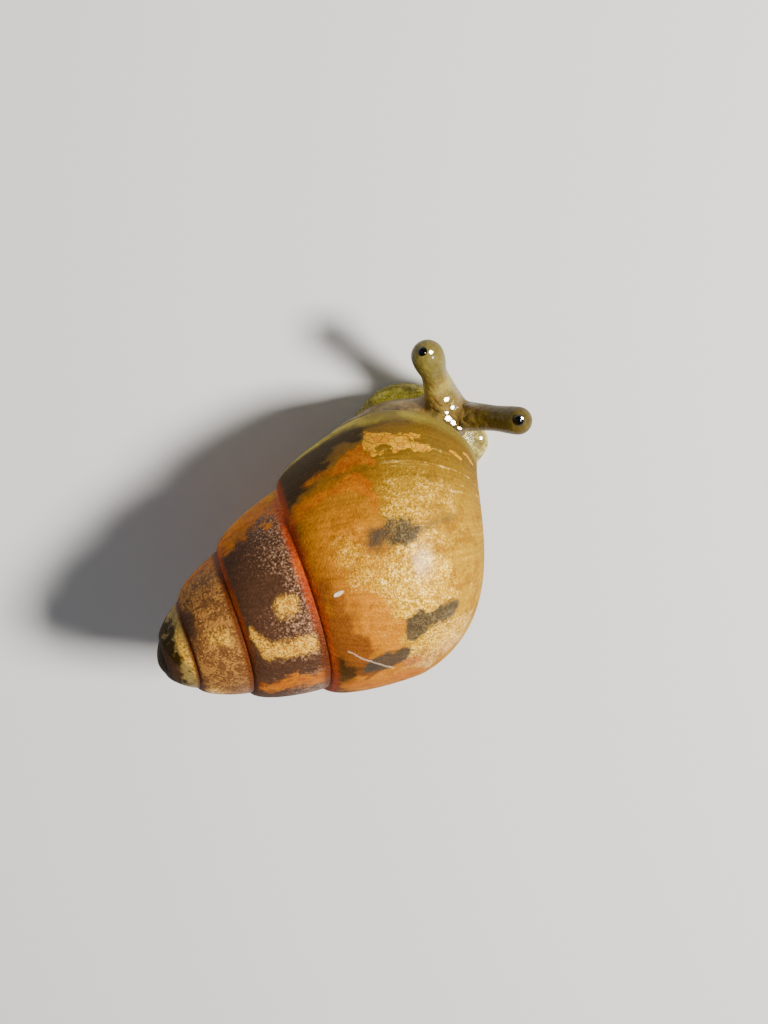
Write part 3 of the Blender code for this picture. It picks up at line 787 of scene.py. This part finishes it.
# Streaks of pigment, the dark ones by the lip partly painted shade: from (turn, part) to (turn, part),
# widths in turn and part, weight
SMUDGES = [
    (3.917, 0.31, 3.908, 0.44, 0.018, 0.042, 1.0),
    (3.908, 0.44, 3.901, 0.57, 0.012, 0.045, 0.55),
    (3.79, 0.35, 3.791, 0.39, 0.016, 0.028, 2.4),
    (3.797, 0.39, 3.789, 0.51, 0.012, 0.03, 1.8),
    (3.749, 0.2, 3.753, 0.29, 0.012, 0.03, 2.8),
    (3.63, 0.26, 3.622, 0.33, 0.014, 0.045, 0.9),
    (3.6, 0.36, 3.612, 0.44, 0.022, 0.05, 0.45),
    (3.455, 0.2, 3.44, 0.25, 0.012, 0.035, 0.8),
    (3.35, 0.34, 3.33, 0.4, 0.03, 0.07, 0.5),
]
ORANGES = [
    (3.99, 0.01, 4.006, 0.1, 0.013, 0.032, 1.2),
    (4.006, 0.1, 4.002, 0.2, 0.01, 0.028, 1.2),
    (4.002, 0.2, 3.996, 0.3, 0.008, 0.026, 1.2),
    (3.996, 0.3, 3.976, 0.335, 0.008, 0.022, 1.2),
    (3.976, 0.335, 3.95, 0.345, 0.009, 0.018, 0.9),
    (4.034, 0.19, 4.028, 0.3, 0.007, 0.03, 0.8),
    (4.022, 0.28, 4.012, 0.4, 0.008, 0.03, 1.0),
    (4.03, 0.3, 4.036, 0.43, 0.01, 0.03, 1.1),
    (3.96, 0.02, 3.93, 0.04, 0.02, 0.025, 0.8),
    (3.735, 0.36, 3.725, 0.5, 0.02, 0.07, 0.55),
    (3.742, 0.26, 3.735, 0.33, 0.012, 0.035, 0.6),
    (3.7, 0.15, 3.69, 0.4, 0.02, 0.08, 0.9),
    (3.6, 0.1, 3.56, 0.42, 0.05, 0.12, 0.8),
    (3.33, 0.1, 3.36, 0.42, 0.05, 0.12, 0.7),
    (2.73, 0.05, 2.735, 0.4, 0.024, 0.1, 1.2),
    (3.08, 0.05, 3.07, 0.36, 0.034, 0.07, 1.1),
    (2.12, 0.15, 2.08, 0.36, 0.03, 0.08, 0.7),
]
FLECKS = [
    (4.046, 0.44, 4.022, 0.505, 0.013, 0.03, 1.9),
    (4.01, 0.545, 4.004, 0.575, 0.005, 0.016, 1.5),
    (4.034, 0.545, 4.03, 0.56, 0.005, 0.014, 1.2),
    (4.03, 0.4, 4.022, 0.43, 0.007, 0.016, 1.1),
    (4.004, 0.665, 3.994, 0.69, 0.004, 0.014, 1.5),
    (4.012, 0.735, 4.0, 0.77, 0.005, 0.014, 1.5),
]
FIELDS = [
    (3.9, 0.44, 3.76, 0.43, 0.045, 0.1, 1.15),
    (3.868, 0.33, 3.83, 0.36, 0.02, 0.045, 0.5),
    (3.915, 0.22, 3.83, 0.32, 0.026, 0.06, 0.55),
    (3.745, 0.36, 3.735, 0.5, 0.026, 0.07, 1.1),
    (3.965, 0.46, 3.94, 0.56, 0.03, 0.07, 0.6),
    (3.56, 0.3, 3.46, 0.42, 0.06, 0.11, 0.8),
    (3.3, 0.3, 3.22, 0.42, 0.05, 0.11, 0.7),
]
GOLDS = [
    (2.893, 0.265, 2.888, 0.3, 0.02, 0.042, 1.05),
    (2.872, 0.095, 2.842, 0.125, 0.015, 0.026, 0.95),
    (2.824, 0.16, 2.812, 0.35, 0.017, 0.04, 1.25),
    (2.6, 0.12, 2.575, 0.24, 0.03, 0.06, 0.75),
    (2.54, 0.28, 2.5, 0.34, 0.05, 0.04, 0.55),
    (2.33, 0.2, 2.29, 0.3, 0.034, 0.055, 0.75),
    (1.9, 0.22, 1.88, 0.3, 0.026, 0.04, 0.8),
    (1.7, 0.15, 1.4, 0.3, 0.05, 0.07, 0.8),
    (0.92, 0.3, 0.84, 0.36, 0.06, 0.05, 0.9),
]
DARKS = [
    # the first five rows lie along the last whorl beside the lip and are partly painted shade
    (4.13, 0.0, 4.115, 0.34, 0.032, 0.08, 1.6),
    (4.075, 0.0, 4.062, 0.16, 0.028, 0.06, 1.6),
    (4.048, 0.06, 4.052, 0.2, 0.018, 0.045, 1.3),
    (4.085, 0.28, 4.08, 0.38, 0.018, 0.055, 1.4),
    (4.074, 0.42, 4.064, 0.54, 0.009, 0.05, 0.5),
    (3.765, 0.03, 3.735, 0.12, 0.03, 0.05, 1.0),
    (3.69, 0.03, 3.64, 0.1, 0.04, 0.06, 0.9),
    (2.96, 0.12, 2.92, 0.24, 0.03, 0.08, 0.8),
    (2.78, 0.06, 2.772, 0.38, 0.013, 0.07, 1.3),
    (2.0, 0.03, 1.96, 0.11, 0.05, 0.04, 1.1),
    (0.96, 0.05, 0.8, 0.14, 0.08, 0.08, 1.4),
]
REDS = [
    (3.87, 0.04, 3.775, 0.08, 0.03, 0.06, 1.2),
    (3.8, 0.1, 3.75, 0.16, 0.028, 0.05, 1.3),
    (3.84, 0.14, 3.79, 0.17, 0.026, 0.04, 0.6),
    (3.925, 0.1, 3.88, 0.2, 0.03, 0.06, 0.4),
]

# Tones of the shell, linear
AMBER = (0.56, 0.192, 0.004)
AMBER_DEEP = (0.25, 0.080, 0.001)
RED_BROWN = (0.17, 0.046, 0.008)
OCHRE = (0.47, 0.250, 0.006)
GOLD = (0.98, 0.50, 0.004)
# painted sparkle: pale glints painted on the golden field
PAINTED_SPARKLE = (1.0, 0.78, 0.34)
ORANGE = (0.44, 0.100, 0.0)
ORANGE_PALE = (0.56, 0.165, 0.0)
EMBER = (0.40, 0.042, 0.002)
EMBER_PALE = (0.55, 0.085, 0.001)
EMBER_DARK = (0.115, 0.022, 0.003)
DARK = (0.032, 0.015, 0.0)
SMUDGE = (0.052, 0.044, 0.030)
BASE_TONE = (0.30, 0.155, 0.010)
LIP_TONE = (0.28, 0.205, 0.030)
LIP_BAND = (0.60, 0.47, 0.055)
LIP_PALE = (0.44, 0.35, 0.09)
SPIRE = (0.076, 0.032, 0.015)
# the lighter spire tone is partly painted sheen, and the pale speck tone is painted glints
SPIRE_PALE_AND_SHEEN = (0.36, 0.185, 0.095)
SPIRE_PAINTED_GLINTS = (0.66, 0.46, 0.32)
SPIRE_EDGE = (0.10, 0.045, 0.004)
WARM = (0.42, 0.185, 0.040)
WARM_DARK = (0.17, 0.068, 0.020)
# cream of the apex, partly a painted highlight
CREAM_AND_HIGHLIGHT = (0.34, 0.225, 0.055)
OLIVE_BROWN = (0.165, 0.085, 0.004)
PATCH_DEEP = (0.62, 0.24, 0.02)
PATCH_PALE = (1.0, 0.56, 0.06)
FLAKE_DEEP = (0.76, 0.27, 0.0)
FLAKE_PALE = (1.0, 0.52, 0.006)
# pale growth lines, partly painted highlights
GROWTH_LINE_AND_HIGHLIGHT = (1.0, 0.66, 0.16)
SCRATCH_TONE = (0.85, 0.62, 0.42)
CHIP_TONE = (0.95, 0.74, 0.52)
INNER_TONE = (0.20, 0.125, 0.022)

# Where the shell's tones change, in turns: from all of the older one to all of the newer one
SPIRE_TURNS = (3.13, 3.03)
EMBER_TURNS = (2.90, 2.80)
WARM_TURNS = (2.22, 2.16)
TIP_TURNS = (1.22, 1.12)

# One scratch and one chip on the last whorl
SCRATCH_TURN = 3.837  # the turn at part 0, and how it falls with part
SCRATCH_SLOPE = 0.40
SCRATCH_PARTS = (0.115, 0.272)
CHIP_TURN, CHIP_PART = 3.875, 0.139
CHIP_NARROW_TURN, CHIP_NARROW_PART = 270.0, 42.0

# Each kind of mark: how ragged its edge is, and its streaks
MARKS = {"smudge": (0.20, SMUDGES), "orange": (0.35, ORANGES), "fleck": (0.30, FLECKS),
         "field": (0.30, FIELDS), "gold": (0.16, GOLDS), "dark": (0.25, DARKS), "red": (0.40, REDS)}


def shell_paint(turn, part, piece):
    """The shell's colours: translucent amber with a granular golden field on the last whorl,
    purple-brown with gold patches on the one before, warmer and darker towards the apex, a glassy
    red seam, cracked orange flecks, grey smudges, pale growth lines, a scratch, a chip, and an
    olive lip. Painted light among them: a painted sparkle on the golden field, painted sheen and
    painted glints on the lit side of the whorls before, painted shade and a painted highlight on the
    apex, partly painted shade in the dark streaks by the lip, and partly painted highlights in the
    growth lines."""
    at = points_of(piece)
    lip = WHORLS - LIP_SLANT / 360.0 * part - turn
    paint(piece, "spire", smooth_step(*SPIRE_TURNS, turn + 0.025 * ripple(at, 0.5, 5)))
    paint(piece, "lip", np.clip(lip, 0.0, 1.0))
    for name, (ragged, table) in MARKS.items():
        paint(piece, name, blotches(turn, part, at, table, ragged))
    p = Paint("shell_amber", Coat_Roughness=0.32, IOR=1.48,
              Subsurface_Weight=0.06, Subsurface_Scale=0.10 * MM, Specular_IOR_Level=0.10)
    p.shader.inputs["Subsurface Radius"].default_value = (1.0, 0.45, 0.15)
    here = p.millimetres()
    cloud = p.noise(here, 1.8, 4.0, 0.6)
    patch = p.noise(here, 6.5, 5.0, 0.62, 0.5)
    grain = p.noise(here, 30.0, 3.0, 0.65)
    worm = p.noise(here, 19.0, 2.0, 0.5, 1.4)
    cloud_off, patch_off, grain_off, worm_off = (noise - 0.5 for noise in (cloud, patch, grain, worm))
    part_at, turn_at, spire = p.attribute("part"), p.attribute("turn"), p.attribute("spire")
    lip_at = p.attribute("lip")
    growth = turn_at + part_at * (LIP_SLANT / 360.0)
    drawn_out = p.node("ShaderNodeCombineXYZ", 0, {0: growth * 210.0, 1: part_at * 4.5, 2: patch})
    lines = p.noise(drawn_out, 1.0, 2.0, 0.55)
    wander = patch_off * 1.5 + grain_off * 1.6

    def share(name, low, high, most):
        return (p.attribute(name) * (1.0 + wander)).ramp(low, high) * most

    # The last whorl
    last = p.mix(part_at.ramp(0.0, 0.20), AMBER_DEEP, AMBER)
    last = p.mix((part_at + cloud_off * 0.2 + grain_off * 0.25).ramp(0.24, 0.62), last, OCHRE)
    last = p.mix((cloud + patch_off * 0.8).ramp(0.50, 0.36) * 0.5, last, AMBER_DEEP)
    field = (p.attribute("field") + patch_off * 0.9 + grain_off * 0.9).ramp(0.10, 1.05)
    last = p.mix(field * 0.9, last, GOLD)
    # Painted sparkle: pale glints painted over the golden field
    painted_sparkle = (worm + grain_off * 0.5).ramp(0.54, 0.68)
    last = p.mix(painted_sparkle * field * 0.5, last, PAINTED_SPARKLE)
    last = p.mix(share("red", 0.15, 0.85, 0.85), last, RED_BROWN)
    last = p.mix((part_at + cloud_off * 0.3).ramp(0.56, 0.86) * 0.75, last, BASE_TONE)
    near_lip = (lip_at + patch_off * 0.05 + (part_at - 0.5) * 0.04).ramp(0.230, 0.080)
    last = p.mix(near_lip * 0.88, last, OLIVE_BROWN)
    # The whorls before it: a grainy mottle that grows lighter with part, partly painted sheen on their
    # lit side, and pale specks there that are painted glints
    speck = (grain + worm_off * 0.7 + (part_at - 0.3) * 1.0).ramp(0.42, 0.80)
    early = p.mix(speck, SPIRE, SPIRE_PALE_AND_SHEEN)
    painted_glints = grain.ramp(0.56, 0.70) * part_at.ramp(0.18, 0.36) * 0.7
    early = p.mix(painted_glints, early, SPIRE_PAINTED_GLINTS)
    early = p.mix(part_at.ramp(0.10, 0.03) * 0.5, early, SPIRE_EDGE)
    warm = p.mix((patch + grain_off * 0.9).ramp(0.42, 0.62), WARM_DARK, WARM)
    early = p.mix(turn_at.ramp(*WARM_TURNS), early, warm)
    # The apex: dark towards part 0, partly painted shade, and cream beyond, partly a painted highlight
    tip = p.mix((part_at + patch_off * 0.8).ramp(0.18, 0.32), DARK, CREAM_AND_HIGHLIGHT)
    early = p.mix(turn_at.ramp(*TIP_TURNS), early, tip)
    colour = p.mix(spire, last, early)
    # Marks
    gold = p.mix((grain + worm_off * 0.5).ramp(0.38, 0.62), PATCH_DEEP, PATCH_PALE)
    gold_share = share("gold", 0.12, 1.02, 0.94)
    colour = p.mix(gold_share, colour, gold)
    # Dark streaks; those by the lip are partly painted shade
    colour = p.mix(share("dark", 0.20, 0.80, 0.90), colour, p.mix(spire, DARK, SPIRE))
    orange = p.mix(patch.ramp(0.36, 0.62), ORANGE, ORANGE_PALE)
    orange_share = p.attribute("orange") * (1.0 + wander + (lines - 0.5) * 1.2)
    colour = p.mix(orange_share.ramp(0.10, 1.05) * 0.95, colour, orange)
    crack = p.cells(here, 8.5, "DISTANCE_TO_EDGE").ramp(0.015, 0.090)
    fleck = p.attribute("fleck") * (1.0 + patch_off * 3.4 + grain_off * 1.2)
    fleck = fleck.ramp(0.50, 0.60)
    flake = p.mix(p.cells(here, 8.5, "F1", "Color"), FLAKE_DEEP, FLAKE_PALE)
    colour = p.mix(fleck * (0.25 + crack * 0.72), colour, flake)
    smudge = share("smudge", 0.12, 0.95, 0.92)
    colour = p.mix(smudge, colour, SMUDGE)
    # The seam, on both sides
    glass = p.mix((patch + cloud_off * 0.6).ramp(0.44, 0.64), EMBER, EMBER_PALE)
    glass = p.mix(turn_at.ramp(*EMBER_TURNS), glass, EMBER_DARK)
    wavy = part_at + patch_off * 0.04
    colour = p.mix(wavy.ramp(0.085, 0.030) * turn_at.ramp(0.9, 1.6) * 0.85, colour, glass)
    under_seam = wavy.ramp(0.350, 0.402) * spire * part_at.ramp(0.50, 0.46)
    colour = p.mix(under_seam * 0.92, colour, glass)
    # The lip
    wide = lip_at + patch_off * 0.016 + part_at * 0.030
    band = p.mix(part_at.ramp(0.50, 0.68), LIP_BAND, LIP_TONE)
    band = p.mix(cloud.ramp(0.40, 0.60), LIP_TONE, band)
    colour = p.mix(wide.ramp(0.072, 0.046) * 0.85, colour, band)
    rim = (lip_at + grain_off * 0.004).ramp(0.011, 0.002) * (0.85 - part_at * 0.45)
    colour = p.mix(rim, colour, LIP_PALE)
    # Pale growth lines near the lip, partly painted highlights on their ribs
    pale = (lines + patch_off * 0.5).ramp(0.64, 0.72)
    pale = pale * lip_at.ramp(0.27, 0.20) * lip_at.ramp(0.07, 0.11)
    colour = p.mix(pale * part_at.ramp(0.42, 0.52) * 0.65, colour, GROWTH_LINE_AND_HIGHLIGHT)
    # The scratch and the chip
    off_line = turn_at + part_at * SCRATCH_SLOPE - SCRATCH_TURN + patch_off * 0.01
    low, high = SCRATCH_PARTS
    scratch = off_line.math("ABSOLUTE").ramp(0.0028, 0.0010)
    scratch = scratch * part_at.ramp(low, low + 0.010) * part_at.ramp(high, high - 0.010)
    colour = p.mix(scratch * turn_at.ramp(3.70, 3.72) * 0.48, colour, SCRATCH_TONE)
    chip_turn = (turn_at - CHIP_TURN) * CHIP_NARROW_TURN
    chip_part = (part_at - CHIP_PART) * CHIP_NARROW_PART
    chip = (chip_turn * chip_turn + chip_part * chip_part + patch_off * 1.6).ramp(1.1, 0.6)
    colour = p.mix(chip * spire.ramp(0.5, 0.0) * 0.9, colour, CHIP_TONE)
    colour = p.mix(p.attribute("inner") * 0.9, colour, INNER_TONE)
    # The finish
    curl = worm.ramp(0.42, 0.60)
    shade = 0.97 + grain_off * 0.9 + (lines - 0.5) * 0.7 + (curl - 0.5) * (field * 0.60 + 0.16)
    p.feed("Base Color", p.scale(colour, shade))
    p.feed("Metallic", (field * 0.25 + gold_share * 0.20 + fleck * 0.15) * (1.0 - smudge))
    glossy = field * 0.28 + gold_share * 0.22 + spire * part_at.ramp(0.16, 0.34) * 0.24
    p.feed("Roughness", 0.60 + grain.ramp(0.3, 0.7) * 0.10 - glossy)
    p.feed("Coat Weight", field * 0.34 + gold_share * 0.20)
    relief = worm * (0.7 + field * 1.1) + grain * 0.6 + lines * 0.8 + chip * 1.2
    p.feed("Normal", p.bump(relief, 0.8, 0.022))
    return p.material


# Tones of the flesh, linear
SKIN_DARK = (0.130, 0.070, 0.010)
SKIN_PALE = (0.22, 0.145, 0.028)
# the skin's right side, darker, partly painted shade
SKIN_RIGHT_AND_SHADE = (0.050, 0.025, 0.002)
# the foot's tone made lighter for its left upper side: painted light
FLANK_PAINTED_LIT_DARK = (0.80, 0.68, 0.045)
FLANK_PAINTED_LIT_PALE = (1.0, 0.90, 0.16)
DULL_DARK = (0.27, 0.205, 0.050)
DULL_PALE = (0.52, 0.44, 0.13)
MARGIN_TONE = (0.66, 0.57, 0.13)
# painted shade of a furrow above the foot's margin
PAINTED_FURROW_SHADE = (0.16, 0.12, 0.03)
STALK_LEFT_DARK = (0.32, 0.190, 0.028)
STALK_LEFT_PALE = (0.44, 0.320, 0.066)
STALK_RIGHT_DARK = (0.104, 0.060, 0.003)
STALK_RIGHT_PALE = (0.168, 0.115, 0.012)
TIP_LEFT = (0.118, 0.100, 0.016)
TIP_RIGHT = (0.078, 0.055, 0.007)
# painted rim light on the left stalk
PAINTED_RIM_LIGHT = (0.30, 0.29, 0.050)
COLLAR_TONE = (0.12, 0.070, 0.010)
WET_TONE = (0.155, 0.095, 0.030)
LIPS_TONE = (0.34, 0.22, 0.08)
# painted shade in the mouth's cleft
PAINTED_MOUTH_SHADE = (0.050, 0.020, 0.008)
FLAT_TONE = (0.20, 0.19, 0.17)
EYE_BLACK = (0.002, 0.0018, 0.0015)
EYE_FLAT_TONE = (0.25, 0.25, 0.25)


def flesh_paint(piece):
    """Moist translucent skin: brown on the head and the right stalk, paler on the left one, greyer
    at the tips, pinkish round the mouth, yellow-olive on the foot with a pale margin over a dark
    furrow. It is finely netted and grained, in plates on the foot, and wet with small flats between
    the stalks. Painted light among these: the foot is painted lighter on its left upper side, a
    painted rim light runs down one side of the left stalk, the right side is darker, partly as
    painted shade, and the mouth's cleft and the dark furrow are painted shade."""
    at = points_of(piece)
    left, right = (tube_distance(at, line[1:], radii[1:]) for line, radii in STALKS)
    paint(piece, "stalk", smooth_step(0.16, -0.02, np.minimum(left, right))
          * (0.35 + 0.65 * smooth_step(1.10, 1.45, at[:, 2])))
    paint(piece, "tip", np.maximum(smooth_step(0.95, 0.15, length(at - np.array(STALK_TIP_LEFT))),
                                   smooth_step(0.80, 0.10, length(at - np.array(STALK_TIP_RIGHT)))))
    side = np.abs(at[:, 0]) / np.maximum(sole_edge(at[:, 1], np.sign(at[:, 0])), 0.05)
    level = at[:, 2] + 0.06 * ripple(at, 0.5, 7)
    paint(piece, "foot", smooth_step(0.60, 0.42, level))
    paint(piece, "margin", smooth_step(0.80, 0.98, side) * smooth_step(0.22, 0.10, at[:, 2]))
    # A dark line above the margin, painted as the shade of a furrow
    furrow = smooth_step(0.05, 0.0, np.abs(level - 0.19))
    paint(piece, "furrow", smooth_step(0.60, 0.80, side) * furrow)
    # The foot's left upper side, painted lighter: painted light
    paint(piece, "painted_lit_side", smooth_step(-0.15, 0.45, at[:, 0]) * smooth_step(0.10, 0.30, level))
    x, y, z = MOUTH_PLACE
    lips = egg_distance(at, (x, y - 0.04, z), (0.22, 0.16, 0.12))
    paint(piece, "lips", smooth_step(0.10, 0.0, lips))
    # The mouth's cleft, painted dark: painted shade
    line = egg_distance(at, (x, y - 0.17, z), (0.17, 0.16, 0.018))
    paint(piece, "mouth", smooth_step(0.035, 0.0, line))
    paint(piece, "right", smooth_step(0.10, -0.35, at[:, 0] + 0.08 * ripple(at, 0.4, 8)))
    # A painted rim light: a pale band down one side of the left stalk
    behind = (at - np.array(STALK_ROOT_LEFT)) @ np.array([-0.70, -0.68, -0.2])
    paint(piece, "rim", smooth_step(-0.08, 0.06, behind)
          * smooth_step(0.10, -0.02, left) * smooth_step(1.30, 1.60, at[:, 2]))
    from_wet = (at - np.array(WET_PLACE)) * np.array([1.2, 0.75, 0.6])
    paint(piece, "wet", smooth_step(0.60, 0.34, length(from_wet)))
    paint(piece, "collar", smooth_step(0.10, -0.02, mantle_distance(at)))
    p = Paint("flesh_moist", Coat_Roughness=0.05, IOR=1.38,
              Subsurface_Weight=0.15, Subsurface_Scale=0.10 * MM, Specular_IOR_Level=0.28)
    p.shader.inputs["Subsurface Radius"].default_value = (1.0, 0.7, 0.35)
    here = p.millimetres()
    cloud = p.noise(here, 3.5, 4.0, 0.6, 0.4)
    patch = p.noise(here, 9.0, 4.0, 0.6, 0.4)
    grain = p.noise(here, 30.0, 3.0, 0.6)
    cloud_off, patch_off, grain_off = (noise - 0.5 for noise in (cloud, patch, grain))
    net = p.cells(here, 11.0, "F1")
    sway = p.node("ShaderNodeTexNoise", 1, {"Vector": here, "Scale": 4.0, "Detail": 2.0})
    bent = p.node("ShaderNodeVectorMath", 0, {0: sway, 1: (0.22, 0.22, 0.22), 2: here},
                  operation="MULTIPLY_ADD")
    bead = p.cells(bent, 6.0, "F1")
    plate = p.cells(bent, 13.0, "DISTANCE_TO_EDGE").ramp(-0.04, 0.22)
    right = p.attribute("right")
    foot, wet = p.attribute("foot"), p.attribute("wet")
    skin = p.mix((cloud + patch_off * 0.8).ramp(0.36, 0.62), SKIN_DARK, SKIN_PALE)
    # The right side darker, partly painted shade beside the lip
    skin = p.mix(right * 0.85, skin, SKIN_RIGHT_AND_SHADE)
    mottle = (patch + cloud_off * 0.8).ramp(0.36, 0.64)
    # The foot: a dull tone, and a lighter copy of it for its left upper side as painted light
    dull, painted_lit_flank = p.mix(mottle, DULL_DARK, DULL_PALE), p.mix(mottle, FLANK_PAINTED_LIT_DARK, FLANK_PAINTED_LIT_PALE)
    skin = p.mix(foot, skin, p.mix(p.attribute("painted_lit_side"), dull, painted_lit_flank))
    stalk_left = p.mix(cloud.ramp(0.38, 0.62), STALK_LEFT_DARK, STALK_LEFT_PALE)
    stalk_right = p.mix(patch.ramp(0.38, 0.62), STALK_RIGHT_DARK, STALK_RIGHT_PALE)
    for name, share, tone in (("margin", 0.7, MARGIN_TONE), ("furrow", 0.5, PAINTED_FURROW_SHADE),
                              ("stalk", 0.85, p.mix(right, stalk_left, stalk_right)),
                              ("tip", 0.8, p.mix(right, TIP_LEFT, TIP_RIGHT)),
                              ("rim", 0.8, PAINTED_RIM_LIGHT), ("collar", 0.6, COLLAR_TONE),
                              ("wet", 0.6, WET_TONE), ("lips", 0.6, LIPS_TONE),
                              ("mouth", 0.9, PAINTED_MOUTH_SHADE)):
        skin = p.mix(p.attribute(name) * share, skin, tone)
    rough = foot * 0.8 + (1.0 - p.attribute("stalk")) * 0.2
    shade = 1.0 + grain_off * 0.9 + patch_off * 0.6 - net * 0.18 + (plate - 0.6) * rough * 0.30
    flats = wet_flats(p, here, WET_FLATS, patch)
    p.feed("Base Color", p.mix(flats, p.scale(skin, shade + 0.08), FLAT_TONE))
    p.feed("Metallic", flats * 0.4)
    p.feed("Roughness", (0.46 + grain * 0.20 - wet * 0.44) * (1.0 - flats) + flats * 0.10)
    p.feed("Coat Weight", 0.22 - foot * 0.16)
    relief = net * -0.5 + plate * rough * 0.7 + grain * 0.35 + patch * 0.6
    relief = relief + wet * bead * bead * -2.2
    p.feed("Normal", level_flats(p, flats, p.bump(relief, 0.75, 0.030)))
    return p.material


def plain_paint(name, colour, **constants):
    p = Paint(name, **constants)
    p.feed("Base Color", colour)
    return p.material


def eye_paint():
    """Glossy black, with one wet flat on the right eye."""
    p = Paint("eye_black", Roughness=0.06, IOR=1.5, Specular_IOR_Level=0.25)
    here = p.millimetres()
    flats = wet_flats(p, here, EYE_FLATS, p.noise(here, 9.0))
    p.feed("Base Color", p.mix(flats, EYE_BLACK, EYE_FLAT_TONE))
    p.feed("Metallic", flats * 0.5)
    p.feed("Normal", level_flats(p, flats, p.node("ShaderNodeNewGeometry", "Normal")))
    return p.material


def dress(piece, material, slot, *nodes):
    piece.data.materials.append(material)
    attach(piece, "root")
    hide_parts(*nodes)


def camera_matrix():
    right, up, back = (Vector(v) for v in (CAMERA_RIGHT, CAMERA_UP, CAMERA_BACK))
    right = up.cross(back).normalized()
    up = back.cross(right).normalized()
    turned = Matrix((right, up, back.normalized())).transposed().to_4x4()
    return Matrix.Translation(Vector(place(CAMERA_AT))) @ turned


def add_camera():
    data = bpy.data.cameras.new("photo_view")
    data.lens, data.sensor_width = CAMERA_LENS, CAMERA_SENSOR
    data.clip_start, data.clip_end = (MM * reach for reach in CAMERA_CLIP)
    data.dof.use_dof = False
    camera = show("photo_view", data)
    camera.matrix_world = camera_matrix()
    bpy.context.scene.camera = camera


def add_light(name, way, distance, size, power, colour):
    """A square soft light that looks at the animal from a direction in the row frame."""
    way = Vector(way).normalized()
    data = bpy.data.lights.new(name, "AREA")
    data.shape = "SQUARE"
    data.size = size * MM
    data.energy = power
    data.color = colour
    light = show(name, data)
    light.location = Vector(LIGHT_TARGET) * MM + way * distance * MM
    light.rotation_euler = way.to_track_quat("Z", "Y").to_euler()


def add_stage():
    """A plain floor, one soft key light, a weak fill light and a dim sky."""
    corners = FLOOR_HALF * np.array([[-1, -1, 0], [1, -1, 0], [1, 1, 0], [-1, 1, 0]])
    floor = make_mesh("floor", corners, [(0, 1, 2, 3)])
    floor.data.materials.append(plain_paint("floor_pale", FLOOR_TONE, Roughness=0.85))
    world = bpy.data.worlds.new("studio")
    world.use_nodes = True
    sky = world.node_tree.nodes["Background"].inputs
    sky[0].default_value, sky[1].default_value = (*SKY_TONE, 1.0), SKY_STRENGTH
    bpy.context.scene.world = world
    add_light("key", *KEY_LIGHT)
    add_light("fill", *FILL_LIGHT)


def main():
    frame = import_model()
    shell, turn, part = build_shell()
    dress(shell, shell_paint(turn, part, shell), "shell", "shell")
    skin = build_flesh()
    dress(skin, flesh_paint(skin), "flesh", "mantle", "neck", "head", "foot", "tail",
          "eye_stalk_left", "eye_stalk_right")
    black = eye_paint()
    for word, tip, way, set_out in (("left", STALK_TIP_LEFT, EYE_UP_LEFT, EYE_SET_LEFT),
                                    ("right", STALK_TIP_RIGHT, EYE_UP_RIGHT, EYE_SET_RIGHT)):
        way = np.array(way) / np.linalg.norm(way)
        eye = ball(f"eyeball_{word}", np.array(tip) + way * set_out, EYE_RADIUS)
        dress(eye, black, "eye", f"eye_{word}")
    add_stage()
    add_camera()
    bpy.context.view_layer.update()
    return frame


main()
